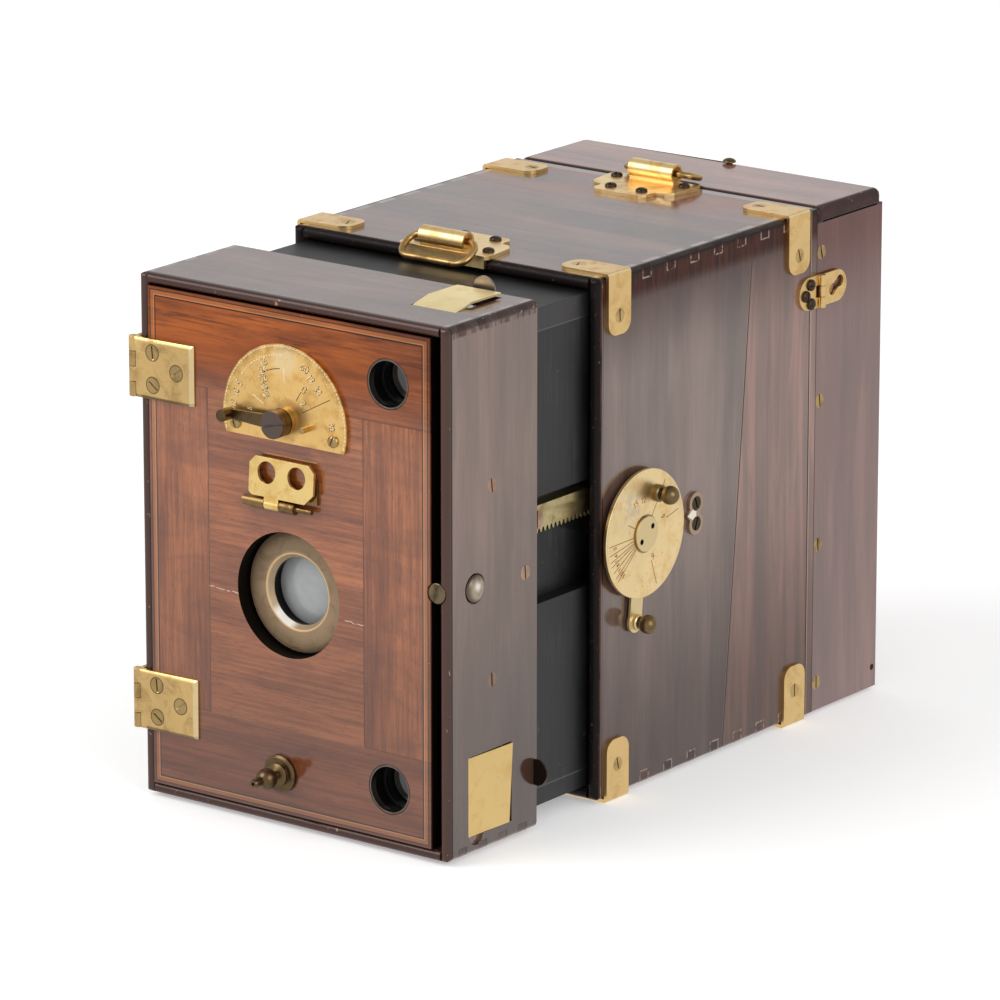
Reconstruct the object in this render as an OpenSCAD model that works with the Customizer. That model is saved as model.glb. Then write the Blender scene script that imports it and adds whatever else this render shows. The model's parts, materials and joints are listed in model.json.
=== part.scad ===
// Wooden detective box camera: a main case on brass corner brackets, a front box with a hinged door that
// racks out on a black focusing tube, and a rear box for plate holders that swings on a hasp.
// Millimetres. X to the dial side, Y to the rear, Z up. The origin is the mouth of the tripod bush.

/* [Main case] */
// Width over the side boards
case_w = 143; // [141:0.5:150]
// Height of the boards, without the brackets
case_h = 200.3; // [196:0.1:210]
// Length from the front edge to the back of the plate frame
case_len = 140.6; // [132:0.1:160]
// Thickness of the boards
case_wall = 5; // [4.5:0.1:5.2]
// Distance from the tripod bush to the front edge
case_front = 69; // [64:0.5:72]
// Thickness of the frame round the plate window
plate_frame_t = 4.7; // [3.5:0.1:6]
// Width of the plate window
window_w = 124; // [100:1:126]
// Height of the plate window
window_h = 176; // [150:1:180]
// Width of one finger of the corner joints
case_finger_w = 5.5; // [3:0.5:7]
// Distance from one finger to the next
case_finger_pitch = 15.1; // [12:0.1:16]
// Number of fingers along one edge
case_finger_n = 8; // [4:1:8]

/* [Front box] */
// Width of the front box
front_w = 142.6; // [140:0.1:144]
// Height of the front box
front_h = 200; // [197:0.1:200]
// Length of the front box
front_len = 53.4; // [52:0.1:60]
// Thickness of its boards
front_wall = 4; // [3.6:0.1:4.4]
// Gap between the front box and the main case as it stands
draw_rest = 36.9; // [20:0.1:45]
// Width of one finger of the corner joints
front_finger_w = 5; // [3:0.5:6]
// Distance from one finger to the next
front_finger_pitch = 12; // [8:0.5:12]
// Number of fingers along one edge
front_finger_n = 4; // [2:1:4]

/* [Focusing] */
// Length of the focusing tube behind the front box
tube_len = 92; // [80:1:96]
// Thickness of the tube's side boards
tube_side_t = 8; // [7.5:0.5:9]
// Thickness of the tube's top and bottom boards
tube_top_t = 7.5; // [6:0.5:9]
// Clearance between the tube and the case, all round
tube_gap = 0.45; // [0.3:0.05:0.6]
// Thickness of the flange that holds the tube in the front box
tube_flange_t = 6; // [4:0.5:6]
// Least step from the tube out to the inside of the front box
tube_step = 1; // [0.8:0.1:1.2]
// Depth of the rack's channel in the tube's side
channel_d = 6; // [5.5:0.1:6.5]
// Height of the channel above the pinion's axis
channel_up = 24.6; // [22:0.1:28]
// Depth of the channel below the pinion's axis
channel_down = 16.1; // [14:0.1:20]
// Pitch of the rack's teeth
tooth_pitch = 2.5; // [2.3:0.05:2.6]
// Teeth on the pinion
pinion_teeth = 28; // [24:1:30]
// Backlash between rack and pinion
backlash = 0.24; // [0.16:0.02:0.3]
// Height of the rack's bar above its pitch line
rack_bar_h = 9.8; // [6:0.1:11]
// Width of the rack
rack_w = 5; // [4:0.1:5.2]
// Distance of the rack's front end from the front box
rack_start = 7.2; // [4:0.1:12]
// Teeth on the rack
rack_teeth = 30; // [28:1:31]
// Radius of the pinion's shaft
shaft_r = 2.5; // [2:0.1:3]
// Radial clearance of every shaft and pin
run_gap = 0.05; // [0.02:0.01:0.08]
// Position of the dial behind the case's front edge
dial_back = 24.6; // [22:0.1:32]
// Height of the dial above the boards' underside
dial_up = 99.2; // [90:0.1:110]

/* [Focus dial] */
// Radius of the dial disc
dial_r = 24.6; // [20:0.1:25]
// Thickness of the dial disc
dial_t = 1.5; // [1:0.1:2]
// Radius of the centre nut
dial_nut_r = 6.7; // [5:0.1:8]
// Thickness of the centre nut
dial_nut_t = 0.9; // [0.6:0.1:1.5]
// Radius from the dial's centre to its ball knob
dial_knob_at = 16; // [10:0.5:19]
// Radius of the ball on the dial and on the clamp lever
ball_r = 3.6; // [3:0.1:4]
// Outer radius of the pinion bush in the case wall
bush_r = 5; // [4:0.1:6]
// Radius of the bush's flange
bush_flange_r = 9; // [8:0.1:10]
// Thickness of the bush's flange
bush_flange_t = 0.8; // [0.6:0.1:1]
// Gap between flat faces that turn past each other
face_gap = 0.25; // [0.2:0.05:0.3]
// Length of the clamp lever
clamp_len = 33.8; // [31:0.1:38]
// Thickness of the clamp lever
clamp_t = 1.2; // [1:0.1:1.6]
// Lean of the clamp lever from straight down
clamp_lean = 5.6; // [0:0.1:15]

/* [Front door] */
// Thickness of the door
door_t = 8; // [7.5:0.1:9]
// How far the door's face stands proud of the walls
door_proud = 0.3; // [0.3:0.1:0.6]
// Gap round the hinge side, top and bottom of the door
door_gap = 0.4; // [0.3:0.1:0.8]
// Gap on the catch side of the door
door_gap_catch = 3.6; // [3:0.1:4]
// Width of the hinge-side stile
stile_l = 27.9; // [24:0.1:32]
// Width of the catch-side stile
stile_r = 30.5; // [24:0.1:34]
// Height of the top rail
rail_top = 34.6; // [30:0.1:36]
// Height of the bottom rail
rail_bottom = 32.9; // [30:0.1:36]
// Sideways place of the lens, dial and two-hole leaf
lens_x = -1.8; // [-4:0.1:4]
// Height of the lens above the boards' underside
lens_up = 88.6; // [86:0.1:92]
// Radius of the lens hole in the door
lens_hole_r = 23.8; // [22:0.1:25]

/* [Lens and shutter] */
// Outer radius of the lens flange
flange_r = 23; // [21:0.1:23.2]
// Thickness of the lens flange at its rim
flange_t = 1.7; // [0.8:0.1:2]
// Radius of the flat part of the flange's face
face_r = 20.8; // [18:0.1:20.8]
// How far that face stands in front of the shutter board
face_t = 2.6; // [2:0.1:4]
// Outer radius of the lens barrel
barrel_r = 16.5; // [15.5:0.1:16.8]
// Length of the lens barrel
barrel_len = 24; // [22:0.1:24.5]
// Radius of the glasses
glass_r = 14; // [13.4:0.1:14.6]
// Clear radius in front of the glasses
clear_r = 12.7; // [11:0.1:13]
// Radius at the mouth of the cone in front of the glasses
mouth_r = 14.4; // [13.5:0.1:15]
// Thickness of the shutter board
shutter_board_t = 3; // [2:0.1:4]
// Radius of the shutter disc
shutter_r = 47; // [44:0.5:48]
// Thickness of the shutter disc
shutter_t = 1; // [0.6:0.1:1.2]
// Height of the shutter's pivot above the lens
shutter_up = 32; // [31:0.5:33]

/* [Hinges] */
// Height of a hinge
hinge_h = 22.9; // [18:0.1:26]
// Reach of a leaf from the pin's axis
hinge_reach = 28.6; // [26:0.1:30]
// Thickness of a leaf
hinge_t = 2; // [1.6:0.1:2.2]
// Radius of the knuckles
hinge_r = 1.9; // [1.7:0.05:2.1]
// Radius of the hinge pins
hinge_pin_r = 0.95; // [0.7:0.05:1.1]
// Height of the upper hinge's middle
hinge_up = 164.5; // [150:0.5:168]
// Height of the lower hinge's middle
hinge_low = 36.8; // [34:0.1:60]

/* [Finders] */
// Sideways place of both finder holes
finder_x = 44.7; // [40:0.1:46]
// Height of the upper finder hole above the boards' underside
finder_up = 175.8; // [172:0.1:178]
// Height of the lower finder hole above the boards' underside
finder_low = 23.4; // [22:0.1:26]
// Outer radius of the rims in the finder holes
rim_r = 9.2; // [8:0.1:10]
// Thickness of those rims
rim_t = 0.6; // [0.4:0.1:1]
// Width of the top finder's cover
cover_w = 19.8; // [18:0.1:20.4]
// Length of the top finder's cover
cover_len = 27.2; // [26:0.1:27.4]
// Height of the side finder's cover
side_cover_h = 30; // [26:0.1:30.4]
// Length of the side finder's cover
side_cover_len = 25.4; // [22:0.1:26]
// Depth of the recess that a cover lies in
recess_d = 2.2; // [2:0.1:2.4]
// Thickness of a cover
cover_t = 0.8; // [0.6:0.1:1]

/* [Rear box] */
// How far the rear box's sides stand in from the main case's sides
back_inset = 0.2; // [0:0.05:0.4]
// How far the rear box's top stands above the main case's top
back_rise = 0.35; // [0:0.05:0.6]
// Length of the rear box
back_len = 43.8; // [42:0.1:60]
// Thickness of its side and bottom boards
back_wall = 5; // [4.5:0.1:6]
// Thickness of its top board
back_top_t = 5.7; // [4.5:0.1:6.5]
// Dark seam under the top board
seam = 0.5; // [0.3:0.1:0.8]
// Thickness of the rear door
rear_door_t = 5; // [4:0.1:6]
// Thickness of one plate holder
holder_t = 11; // [9:0.5:11.5]

/* [Brass fittings] */
// Thickness of the corner brackets
bracket_t = 1.4; // [1.2:0.1:1.8]
// Width of a bracket's leg
bracket_w = 13.8; // [11:0.1:15]
// Length of a bracket's leg, from the case's corner
bracket_leg = 22.6; // [20:0.1:25]
// Distance of a bracket from the front or rear edge
bracket_in = 4.6; // [3:0.1:7]
// Thickness of the strap lugs' plates
lug_t = 1.5; // [1.2:0.1:1.8]
// Radius of the lugs' barrels
lug_barrel_r = 3.7; // [3.2:0.1:4]
// Half the length of the lugs' barrels
lug_barrel_half = 10.4; // [8:0.1:11]
// Radius of the strap rings' wire
ring_r = 1.3; // [1:0.1:1.4]
// Reach of a strap ring from its barrel
ring_reach = 11.3; // [10:0.1:14]
// Radius of the countersunk screw heads
flat_head_r = 2.8; // [2.4:0.1:2.9]
// Radius of the round screw heads
round_head_r = 2.3; // [1.8:0.1:2.4]
// Radius of the screws' shanks
shank_r = 1.2; // [0.8:0.1:1.3]

/* [Hidden] */
$fn = 48;
// A cut runs this far past the face that it opens
past = 1;
dark_wood = "#4a2a1e";
door_wood = "#7d4526";
black = "#1b1a1c";
brass = "#c9a050";
dull_brass = "#a08a58";
steel = "#5a5658";

// Levels and faces of the main case
z0 = bracket_t;
case_x = case_w / 2;
case_y0 = -case_front;
case_y1 = case_y0 + case_len;
boards_y1 = case_y1 - plate_frame_t;
case_top_z = z0 + case_h;

// Levels and faces of the front box
front_x = front_w / 2;
front_y1 = case_y0 - draw_rest;
front_y0 = front_y1 - front_len;
front_top_z = z0 + front_h;
inner_x = front_x - front_wall;

// Focusing tube, rack and pinion
tube_x = min(case_x - case_wall - tube_gap, inner_x - tube_step);
tube_z0 = z0 + max(case_wall + tube_gap, front_wall + tube_step);
tube_z1 = min(case_top_z - case_wall - tube_gap, front_top_z - front_wall - tube_step);
tube_y1 = front_y1 + tube_len;
floor_x = tube_x - channel_d;
dial_y = case_y0 + dial_back;
dial_z = z0 + dial_up;
pitch_r = pinion_teeth * tooth_pitch / (2 * PI);
addendum = 0.3 * tooth_pitch;
dedendum = 0.4 * tooth_pitch;
tooth_slope = tan(20);
rack_front = front_y1 + rack_start;
rack_screw_in = 1.4;
rack_screw_up = 15.4;
rack_screw_r = 3.8;
rack_screw_bite = 1.6;

// Dial stack, outwards from the case's wall
lever_x = case_x + bush_flange_t + face_gap;
disc_x = lever_x + clamp_t + face_gap;
knob_turn = 61;

// Door, lens and hinges
door_y0 = front_y0 - door_proud;
door_y1 = door_y0 + door_t;
door_x0 = -inner_x + door_gap;
door_x1 = inner_x - door_gap_catch;
door_z0 = z0 + front_wall + door_gap;
door_z1 = front_top_z - front_wall - door_gap;
hinge_x = -front_x - hinge_r;
hinge_y = front_y0 - 1;
hinge_z = [z0 + hinge_low, z0 + hinge_up];
back_hinge_x = -case_x - hinge_r - 0.3;
back_hinge_y = case_y1 + 0.15;
back_hinge_in = 46;
back_hinge_z = [z0 + back_hinge_in, case_top_z - back_hinge_in - 0.3];
back_reach = 21;
fixed_reach = 20;
knuckle_n = 4;
lens_z = z0 + lens_up;
board_y0 = door_y1;
board_y1 = board_y0 + shutter_board_t;
barrel_y1 = board_y0 + barrel_len;
shutter_z = lens_z + shutter_up;
shutter_y0 = barrel_y1 + 0.5;
shutter_board_half = 38;
shutter_board_low = 30;
shutter_board_high = 36;
shutter_post_r = 3.4;
shutter_pivot_r = 1.5;

// Speed dial, its lever and the two-hole leaf
speed_r = 28.6;
speed_cut = 8.1;
speed_t = 1.4;
speed_z = z0 + 154.9;
speed_y0 = door_y0 - speed_t;
speed_screw_at = 22.6;
speed_screw_down = 4;
speed_hub_r = 5.2;
speed_collar_t = 2.1;
speed_hub_t = 2.3;
speed_head_t = 2.6;
speed_shank_r = 2.2;
speed_slot_w = 1;
speed_stack = speed_collar_t + 2 * face_gap + speed_hub_t + speed_head_t;
speed_arm = 23;
speed_knob_r = 2.25;
speed_knob_l = 6;
stop_r = 1.15;
stop_l = 4;
speed_arm_t = 1.5;
stop_at = 11;
leaf_r = 2.2;
leaf_pin_r = 1;
leaf_y = door_y0 - leaf_r;
leaf_z = z0 + 122.8;
leaf_x0 = lens_x - 15.2;
leaf_w = 29.9;
leaf_h = 17.4;
leaf_t = 1.3;
leaf_lean = 4.5;
leaf_set = 0.2;
leaf_hole_r = 4.15;
leaf_hole_gap = 13.9;
leaf_hole_up = 11.8;
leaf_base_low = 7;
leaf_base_h = 11.4;
leaf_ear_w = 3.5;
leaf_base_t = 1.2;
leaf_corner = 2.6;
leaf_end = 0.4;
leaf_screw_half = 13.2;
leaf_screw_up = 8;
leaf_screw_r = 1;
knuckle_w = 6.7;
knuckle_gap = 0.2;

// Air fittings on the door
air_x = -5.8;
air_z = z0 + 19.8;
air_duct_r = 2;
air_bore_r = 0.6;
cylinder_r = 6.5;
cylinder_bore = 5;
cylinder_len = 26;
rod_r = 1.3;

// Finders
upper_z = z0 + finder_up;
lower_z = z0 + finder_low;
finder_half = rim_r + 4;
finder_y0 = door_y1 + 0.4;
finder_y1 = front_y1 - tube_flange_t - 0.3;
finder_t = 1.5;
cover_x = finder_x + 3.9;
cover_y1 = front_y1 - 4.8;
cover_y0 = cover_y1 - cover_len;
cover_bend_at = 9;
cover_bend = 13;
side_cover_lean = 2.4;
side_cover_cut = 2;
side_cover_z = lower_z - 1.4;
cover_pin_r = 0.5;
cover_gap = 0.3;
side_cover_y0 = front_y0 + 12.4;
side_cover_y1 = side_cover_y0 + side_cover_len;
window_in = 3;
screen_t = 1.6;
tab_r = 5;
tab_y = front_y1 - 1.6;
tab_out = 1.1;
tab_t = 0.8;
thumb_r = 4;
thumb_d = 1.2;

// Catch side of the door
stud_x = inner_x - 1.2;
stud_up = 101.4;
stud_z = z0 + stud_up;
stud_r = 4;
button_y = front_y0 + 16.2;
button_z = z0 + 100.5;
button_r = 5.3;
button_collar_r = 7.4;
button_collar_y = -front_wall - 2.2;
side_screws = [[front_y0 + 26.3, z0 + 136.7], [front_y0 + 46.4, z0 + 99.4], [front_y0 + 26.3, z0 + 63.6]];

// Rear box
back_x = case_x - back_inset;
back_y0 = case_y1 + 0.3;
back_y1 = back_y0 + back_len;
back_top_z = case_top_z + back_rise;
back_under_z = back_top_z - back_top_t;
side_top_z = back_under_z - seam;
back_inner = back_x - back_wall;
rear_door_y0 = back_y1 - rear_door_t;
rear_door_gap = 0.4;
rear_door_z0 = z0 + back_wall + 0.5;
rear_pivot_y = back_y1 - rear_door_t / 2;
rear_pivot_z = rear_door_z0 + rear_door_t / 2;
rear_pin_r = 1.2;
back_screw_y = back_y0 + 2.9;
back_screw_z = [for (up = [11.2, 66.7, 124.2, 182.8]) z0 + up];
catch_y = back_y1 - 2.8;
catch_x = 1;
catch_r = 1.2;
catch_knob_r = 2.7;
catch_knob_h = 2.2;

// Hasp on the dial side
hasp_down = 31.9;
hasp_z = case_top_z - hasp_down;
hasp_half = 6.4;
hasp_t = 1.2;
hasp_y0 = case_y1 - 13.2;
hasp_r = 1.4;
hasp_pin_r = 0.6;
hasp_y = case_y1 + 0.8;
hasp_x = case_x + hasp_r + 0.5;
hasp_leaf_t = 1;
hasp_leaf_len = 17;
hasp_slot_r = 2.3;
hasp_slot = [[7.6, -0.9], [12.4, 1.6]];
hasp_stud_r = 2.1;
hasp_stud_h = 0.4;
hasp_screws = [[-6.7, 3.4], [-10, -0.5], [-6.4, -4.1]];

// Index plate beside the dial
index_behind = 36;
index_y = dial_y + index_behind;
index_z = dial_z - 0.8;
index_lobe_r = 4.4;
index_lobe_at = 3.9;
index_t = 1.5;

// Strap lugs: the outline's right half, from the wide edge to the end of the tab
lug_len = 28.4;
lug_shape = [[19.6, 0], [20.8, 1.6], [20.8, 5], [19.2, 16.4], [16.6, 19.4], [13.2, 19.8],
    [12.2, 22.2], [12.4, 25.4], [10.2, 28]];
lug_screws = [[16, 5.6], [7.3, 21.4]];
lug_barrel_in = 2.6;
lug_mouth = 2;
lug_lip = 4.8;
lug_z = case_top_z + lug_t;
lug_axis_z = lug_z + lug_barrel_r;
front_lug_x = 0.5;
rear_lug_x = -2.8;
front_lug_y = case_y0 - lug_t;
rear_lug_y = case_y1 - 0.4;
front_ring_y = front_lug_y + lug_barrel_in;
rear_ring_y = rear_lug_y - lug_barrel_in;
front_ring_drop = 34;
rear_ring_drop = 15.6;
ring_half = lug_barrel_half + 0.5;
ring_bend = 4.5;

// Tripod bush
tripod_r = 19;
tripod_boss_r = 7.5;
tripod_bore_r = 4.76;
tripod_screw_at = 13;

// Screws
head_d = 1.3;
slot_w = 0.7;
slot_d = 0.7;
shank_l = 4.4;
round_h = 1.5;

// Rectangular block between two corners
module block(a, b) { translate(a) cube(b - a); }

// Round bars along each axis
module bar_x(x0, x1, y, z, r) { translate([x0, y, z]) rotate([0, 90, 0]) cylinder(h = x1 - x0, r = r); }
module bar_y(x, y0, y1, z, r) { translate([x, y0, z]) rotate([-90, 0, 0]) cylinder(h = y1 - y0, r = r); }
module bar_z(x, y, z0, z1, r) { translate([x, y, z0]) cylinder(h = z1 - z0, r = r); }

// Turned pieces on an axis that points to the front or to the dial side
module turned_front(x, y, z) { translate([x, y, z]) rotate([90, 0, 0]) rotate_extrude() children(); }
module turned_side(x, y, z) { translate([x, y, z]) rotate([0, 90, 0]) rotate_extrude() children(); }

// Turns up to the outward direction of a face, at a point
module on_face(at, side) {
    turn = side == "right" ? [0, 90, 0] : side == "left" ? [0, -90, 0] : side == "front" ? [90, 0, 0]
        : side == "under" ? [180, 0, 0] : [0, 0, 0];
    translate(at) rotate(turn) children();
}

// Countersunk screw with its head flush at height 0, and the hole for it
module flat_screw(turn) {
    difference() {
        union() {
            translate([0, 0, -head_d]) cylinder(h = head_d, r1 = shank_r, r2 = flat_head_r, $fn = 24);
            translate([0, 0, -shank_l]) cylinder(h = shank_l - head_d, r = shank_r, $fn = 16);
        }
        rotate(turn) translate([-flat_head_r - past, -slot_w / 2, -slot_d])
            cube([2 * (flat_head_r + past), slot_w, slot_d + past]);
    }
}
module flat_hole() {
    translate([0, 0, -head_d]) cylinder(h = head_d, r1 = shank_r, r2 = flat_head_r, $fn = 24);
    translate([0, 0, -shank_l]) cylinder(h = shank_l, r = shank_r, $fn = 16);
    cylinder(h = past, r = flat_head_r, $fn = 24);
}

// Round-headed screw standing on height 0, and the hole for its shank
module round_screw(turn) {
    difference() {
        union() {
            rotate_extrude($fn = 24) polygon(concat([[0, 0]], [for (a = [0:22.5:90])
                [round_head_r * cos(a), round_h * (0.3 + 0.7 * sin(a))]]));
            cylinder(h = round_h * 0.3, r = round_head_r, $fn = 24);
            translate([0, 0, -shank_l]) cylinder(h = shank_l, r = shank_r, $fn = 16);
        }
        rotate(turn) translate([-round_head_r - past, -slot_w / 2, round_h - slot_d])
            cube([2 * (round_head_r + past), slot_w, slot_d + past]);
    }
}
module round_hole() { translate([0, 0, -shank_l]) cylinder(h = shank_l + past, r = shank_r, $fn = 16); }

// Screws and their holes from a list of [point, side, turn]
module flat_screws(list) { for (s = list) on_face(s[0], s[1]) flat_screw(s[2]); }
module flat_holes(list, side) { for (s = list) if (s[1] == side) on_face(s[0], s[1]) flat_hole(); }
module round_screws(list) { for (s = list) on_face(s[0], s[1]) round_screw(s[2]); }
module round_holes(list, side) { for (s = list) if (s[1] == side) on_face(s[0], s[1]) round_hole(); }

// Board with a half-round front edge, drawn along its depth and its thickness
module nosed(depth, thick) {
    translate([thick / 2, thick / 2]) circle(r = thick / 2);
    translate([0, thick / 2]) square([thick, depth - thick / 2]);
}
// An upright side board and a level one, each from its lowest corner
module upright_board(at, depth, thick, height) {
    translate(at) linear_extrude(height) nosed(depth, thick);
}
module level_board(at, depth, thick, width) {
    translate(at) rotate([90, 0, 90]) linear_extrude(width) mirror([1, -1, 0]) nosed(depth, thick);
}

// Fingers of a level board at both of its ends, between the inner and the outer width
module fingers(inner, outer, y_mid, n, pitch, w, low, thick) {
    for (i = [0:n - 1])
        for (m = [0, 1]) mirror([m, 0, 0])
            block([inner, y_mid + (i - (n - 1) / 2) * pitch - w / 2, low],
                [outer, y_mid + (i - (n - 1) / 2) * pitch + w / 2, low + thick]);
}
module case_fingers(low) {
    fingers(case_x - case_wall, case_x, (case_y0 + boards_y1) / 2, case_finger_n, case_finger_pitch,
        case_finger_w, low, case_wall);
}
module front_fingers(low) {
    fingers(inner_x, front_x, (front_y0 + front_y1) / 2, front_finger_n, front_finger_pitch,
        front_finger_w, low, front_wall);
}

// Knuckles of a hinge on the vertical line through the origin: one parity of n, and the cut for the other
function knuckle_h(h, n) = (h - (n - 1) * knuckle_gap) / n;
module knuckles(h, n, own, r) {
    for (i = [0:n - 1]) if (i % 2 == own)
        translate([0, 0, i * (knuckle_h(h, n) + knuckle_gap) - h / 2]) cylinder(h = knuckle_h(h, n), r = r);
}
module knuckle_cuts(h, n, other, r) {
    for (i = [0:n - 1]) if (i % 2 == other)
        translate([0, 0, i * (knuckle_h(h, n) + knuckle_gap) - h / 2 - (i == 0 ? past : knuckle_gap)])
            cylinder(h = knuckle_h(h, n) + (i == 0 || i == n - 1 ? past : knuckle_gap) + knuckle_gap,
                r = r + cover_gap);
}

// Screw lists
bracket_mid = [case_y0 + bracket_in + bracket_w / 2, boards_y1 - 2.2 - bracket_w / 2];
bracket_screw_side = bracket_leg - 7.2;
bracket_screw_top = bracket_leg - 5;
bracket_screws = [for (s = [-1, 1]) for (y = bracket_mid) for (e = [
    [[s * (case_x + bracket_t), y, case_top_z - bracket_screw_side], s > 0 ? "right" : "left", 10 + y / 8],
    [[s * (case_x + bracket_t), y, z0 + bracket_screw_side - 3], s > 0 ? "right" : "left", 6 - y / 8],
    [[s * (case_x - bracket_screw_top), y, case_top_z + bracket_t], "top", 50 + 2 * y],
    [[s * (case_x - bracket_screw_top), y, 0], "under", y]]) e];
lug_screw_list = [for (s = [-1, 1]) for (p = lug_screws) for (e = [
    [[front_lug_x + s * p[0], front_lug_y + p[1] + 2, lug_z], "top", 40 + 30 * s],
    [[rear_lug_x + s * p[0], rear_lug_y - p[1], lug_z], "top", 70 * s]]) e];
tripod_screws = [for (a = [30, 150, 270])
    [[tripod_screw_at * cos(a), tripod_screw_at * sin(a), 0], "under", a]];
index_screws = [for (s = [-1, 1])
    [[case_x + index_t, index_y, index_z + s * index_lobe_at], "right", 20 * s]];
hasp_screw_list = [for (p = hasp_screws)
    [[case_x + hasp_t, hasp_y + p[0], hasp_z + p[1]], "right", 25 * p[1]]];
carriage_screw_list = [for (s = [-1, 1]) for (p = side_screws)
    [[s * front_x, p[0], p[1]], s > 0 ? "right" : "left", p[1] / 20]];
hinge_screw_at = [[9.8, 6.4], [21.1, 0.3], [9.9, -5.9]];
door_hinge_screws = [for (z = hinge_z) for (p = hinge_screw_at)
    [[hinge_x + p[0], door_y0 - hinge_t, z + p[1]], "front", 20 + 40 * p[1]]];
fixed_hinge_screws = [for (z = hinge_z) for (p = [[9, 6.4], [14, 0], [9, -6.4]])
    [[-front_x - hinge_t, hinge_y + p[0], z + p[1]], "left", 70 * p[1]]];
case_hinge_screws = [for (z = back_hinge_z) for (p = [[9, 6.4], [14, 0], [9, -6.4]])
    [[-case_x - hinge_t, back_hinge_y - p[0], z + p[1]], "left", 50 * p[1]]];
box_hinge_screws = [for (z = back_hinge_z) for (p = [[9, 6.4], [14, 0], [9, -6.4]])
    [[-back_x - hinge_t, back_hinge_y + p[0], z + p[1]], "left", 60 * p[1]]];
dial_screws = [for (s = [-1, 1]) [[lens_x + s * speed_screw_at, speed_y0, speed_z - speed_screw_down],
    "front", 90 - 20 * s]];
back_screw_list = [for (s = [-1, 1]) for (z = back_screw_z)
    [[s * back_x, back_screw_y, z], s > 0 ? "right" : "left", z / 15]];

// Main case
module case_side(side) {
    difference() {
        upright_board([side == "left" ? -case_x : case_x - case_wall, case_y0, z0], case_len - plate_frame_t,
            case_wall, case_h);
        case_fingers(z0);
        case_fingers(case_top_z - case_wall);
        flat_holes(concat(bracket_screws, side == "left" ? case_hinge_screws : index_screws), side);
        if (side == "right") {
            round_holes(hasp_screw_list, side);
            bar_x(case_x - case_wall - past, case_x + past, dial_y, dial_z, bush_r);
        }
    }
}
module case_left() { color(dark_wood) case_side("left"); }
module case_right() { color(dark_wood) case_side("right"); }
module case_level(low) {
    level_board([-case_x + case_wall, case_y0, low], case_len - plate_frame_t, case_wall,
        case_w - 2 * case_wall);
    case_fingers(low);
}
module case_top() {
    color(dark_wood) difference() {
        case_level(case_top_z - case_wall);
        flat_holes(bracket_screws, "top");
        round_holes(lug_screw_list, "top");
    }
}
module case_bottom() {
    color(dark_wood) difference() {
        case_level(z0);
        flat_holes(concat(bracket_screws, tripod_screws), "under");
        bar_z(0, 0, z0 - past, z0 + case_wall + past, tripod_boss_r);
    }
}
module plate_frame() {
    mid = z0 + case_h / 2;
    color(dark_wood) difference() {
        block([-case_x, boards_y1, z0], [case_x, case_y1, case_top_z]);
        block([-window_w / 2, boards_y1 - past, mid - window_h / 2],
            [window_w / 2, case_y1 + past, mid + window_h / 2]);
        round_holes(lug_screw_list, "top");
        round_holes(hasp_screw_list, "right");
    }
}

// Leg of a corner bracket, flat on height 0, from its corner along +X
module bracket_leg_plate() {
    r = bracket_w * 0.36;
    block([0, -bracket_w / 2, 0], [bracket_leg - r, bracket_w / 2, bracket_t]);
    block([0, -bracket_w / 2 + r, 0], [bracket_leg, bracket_w / 2 - r, bracket_t]);
    for (s = [-1, 1]) bar_z(bracket_leg - r, s * (bracket_w / 2 - r), 0, bracket_t, r);
}
module corner_bracket(y, top) {
    translate([case_x, y, top ? case_top_z : z0]) mirror([0, 0, top ? 0 : 1]) {
        rotate([0, 0, 180]) bracket_leg_plate();
        rotate([0, 90, 0]) bracket_leg_plate();
        intersection() {
            bar_y(0, -bracket_w / 2, bracket_w / 2, 0, bracket_t);
            block([0, -bracket_w, 0], [bracket_t + past, bracket_w, bracket_t + past]);
        }
    }
}
module corner_brackets() {
    color(brass) difference() {
        for (y = bracket_mid) for (m = [0, 1]) for (top = [true, false]) mirror([m, 0, 0])
            corner_bracket(y, top);
        for (side = ["right", "left", "top", "under"]) flat_holes(bracket_screws, side);
    }
}
module case_screws() {
    color(steel) {
        flat_screws(concat(bracket_screws, tripod_screws, case_hinge_screws));
        flat_screws(index_screws);
        round_screws(concat(lug_screw_list, hasp_screw_list));
    }
}

// Strap lug with its wide edge on y = 0 and its tab towards +Y, lying on height 0
module lug_plate() {
    linear_extrude(lug_t) polygon(concat(lug_shape,
        [for (i = [len(lug_shape) - 1:-1:0]) [-lug_shape[i][0], lug_shape[i][1]]]));
    axis = lug_t + lug_barrel_r;
    difference() {
        union() {
            bar_x(-lug_barrel_half, lug_barrel_half, lug_barrel_in, axis, lug_barrel_r);
            block([-lug_barrel_half, lug_barrel_in - 2.4, lug_t / 2],
                [lug_barrel_half, lug_barrel_in + 2.4, axis]);
        }
        bar_x(-case_x, case_x, lug_barrel_in, axis, ring_r + run_gap);
        for (s = [-1, 1]) bar_x(s * lug_barrel_half - lug_mouth, s * lug_barrel_half + lug_mouth,
            lug_barrel_in, axis, lug_barrel_r - 0.9);
    }
}
module strap_lugs() {
    color(brass) difference() {
        union() {
            translate([front_lug_x, front_lug_y, case_top_z]) {
                lug_plate();
                block([-lug_shape[0][0], 0, -lug_lip + lug_t], [lug_shape[0][0], lug_t, lug_t / 2]);
            }
            translate([rear_lug_x, rear_lug_y, case_top_z]) rotate(180) lug_plate();
        }
        round_holes(lug_screw_list, "top");
        upright_board([-case_x, case_y0, z0], case_len, case_w, case_h);
    }
}
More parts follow.
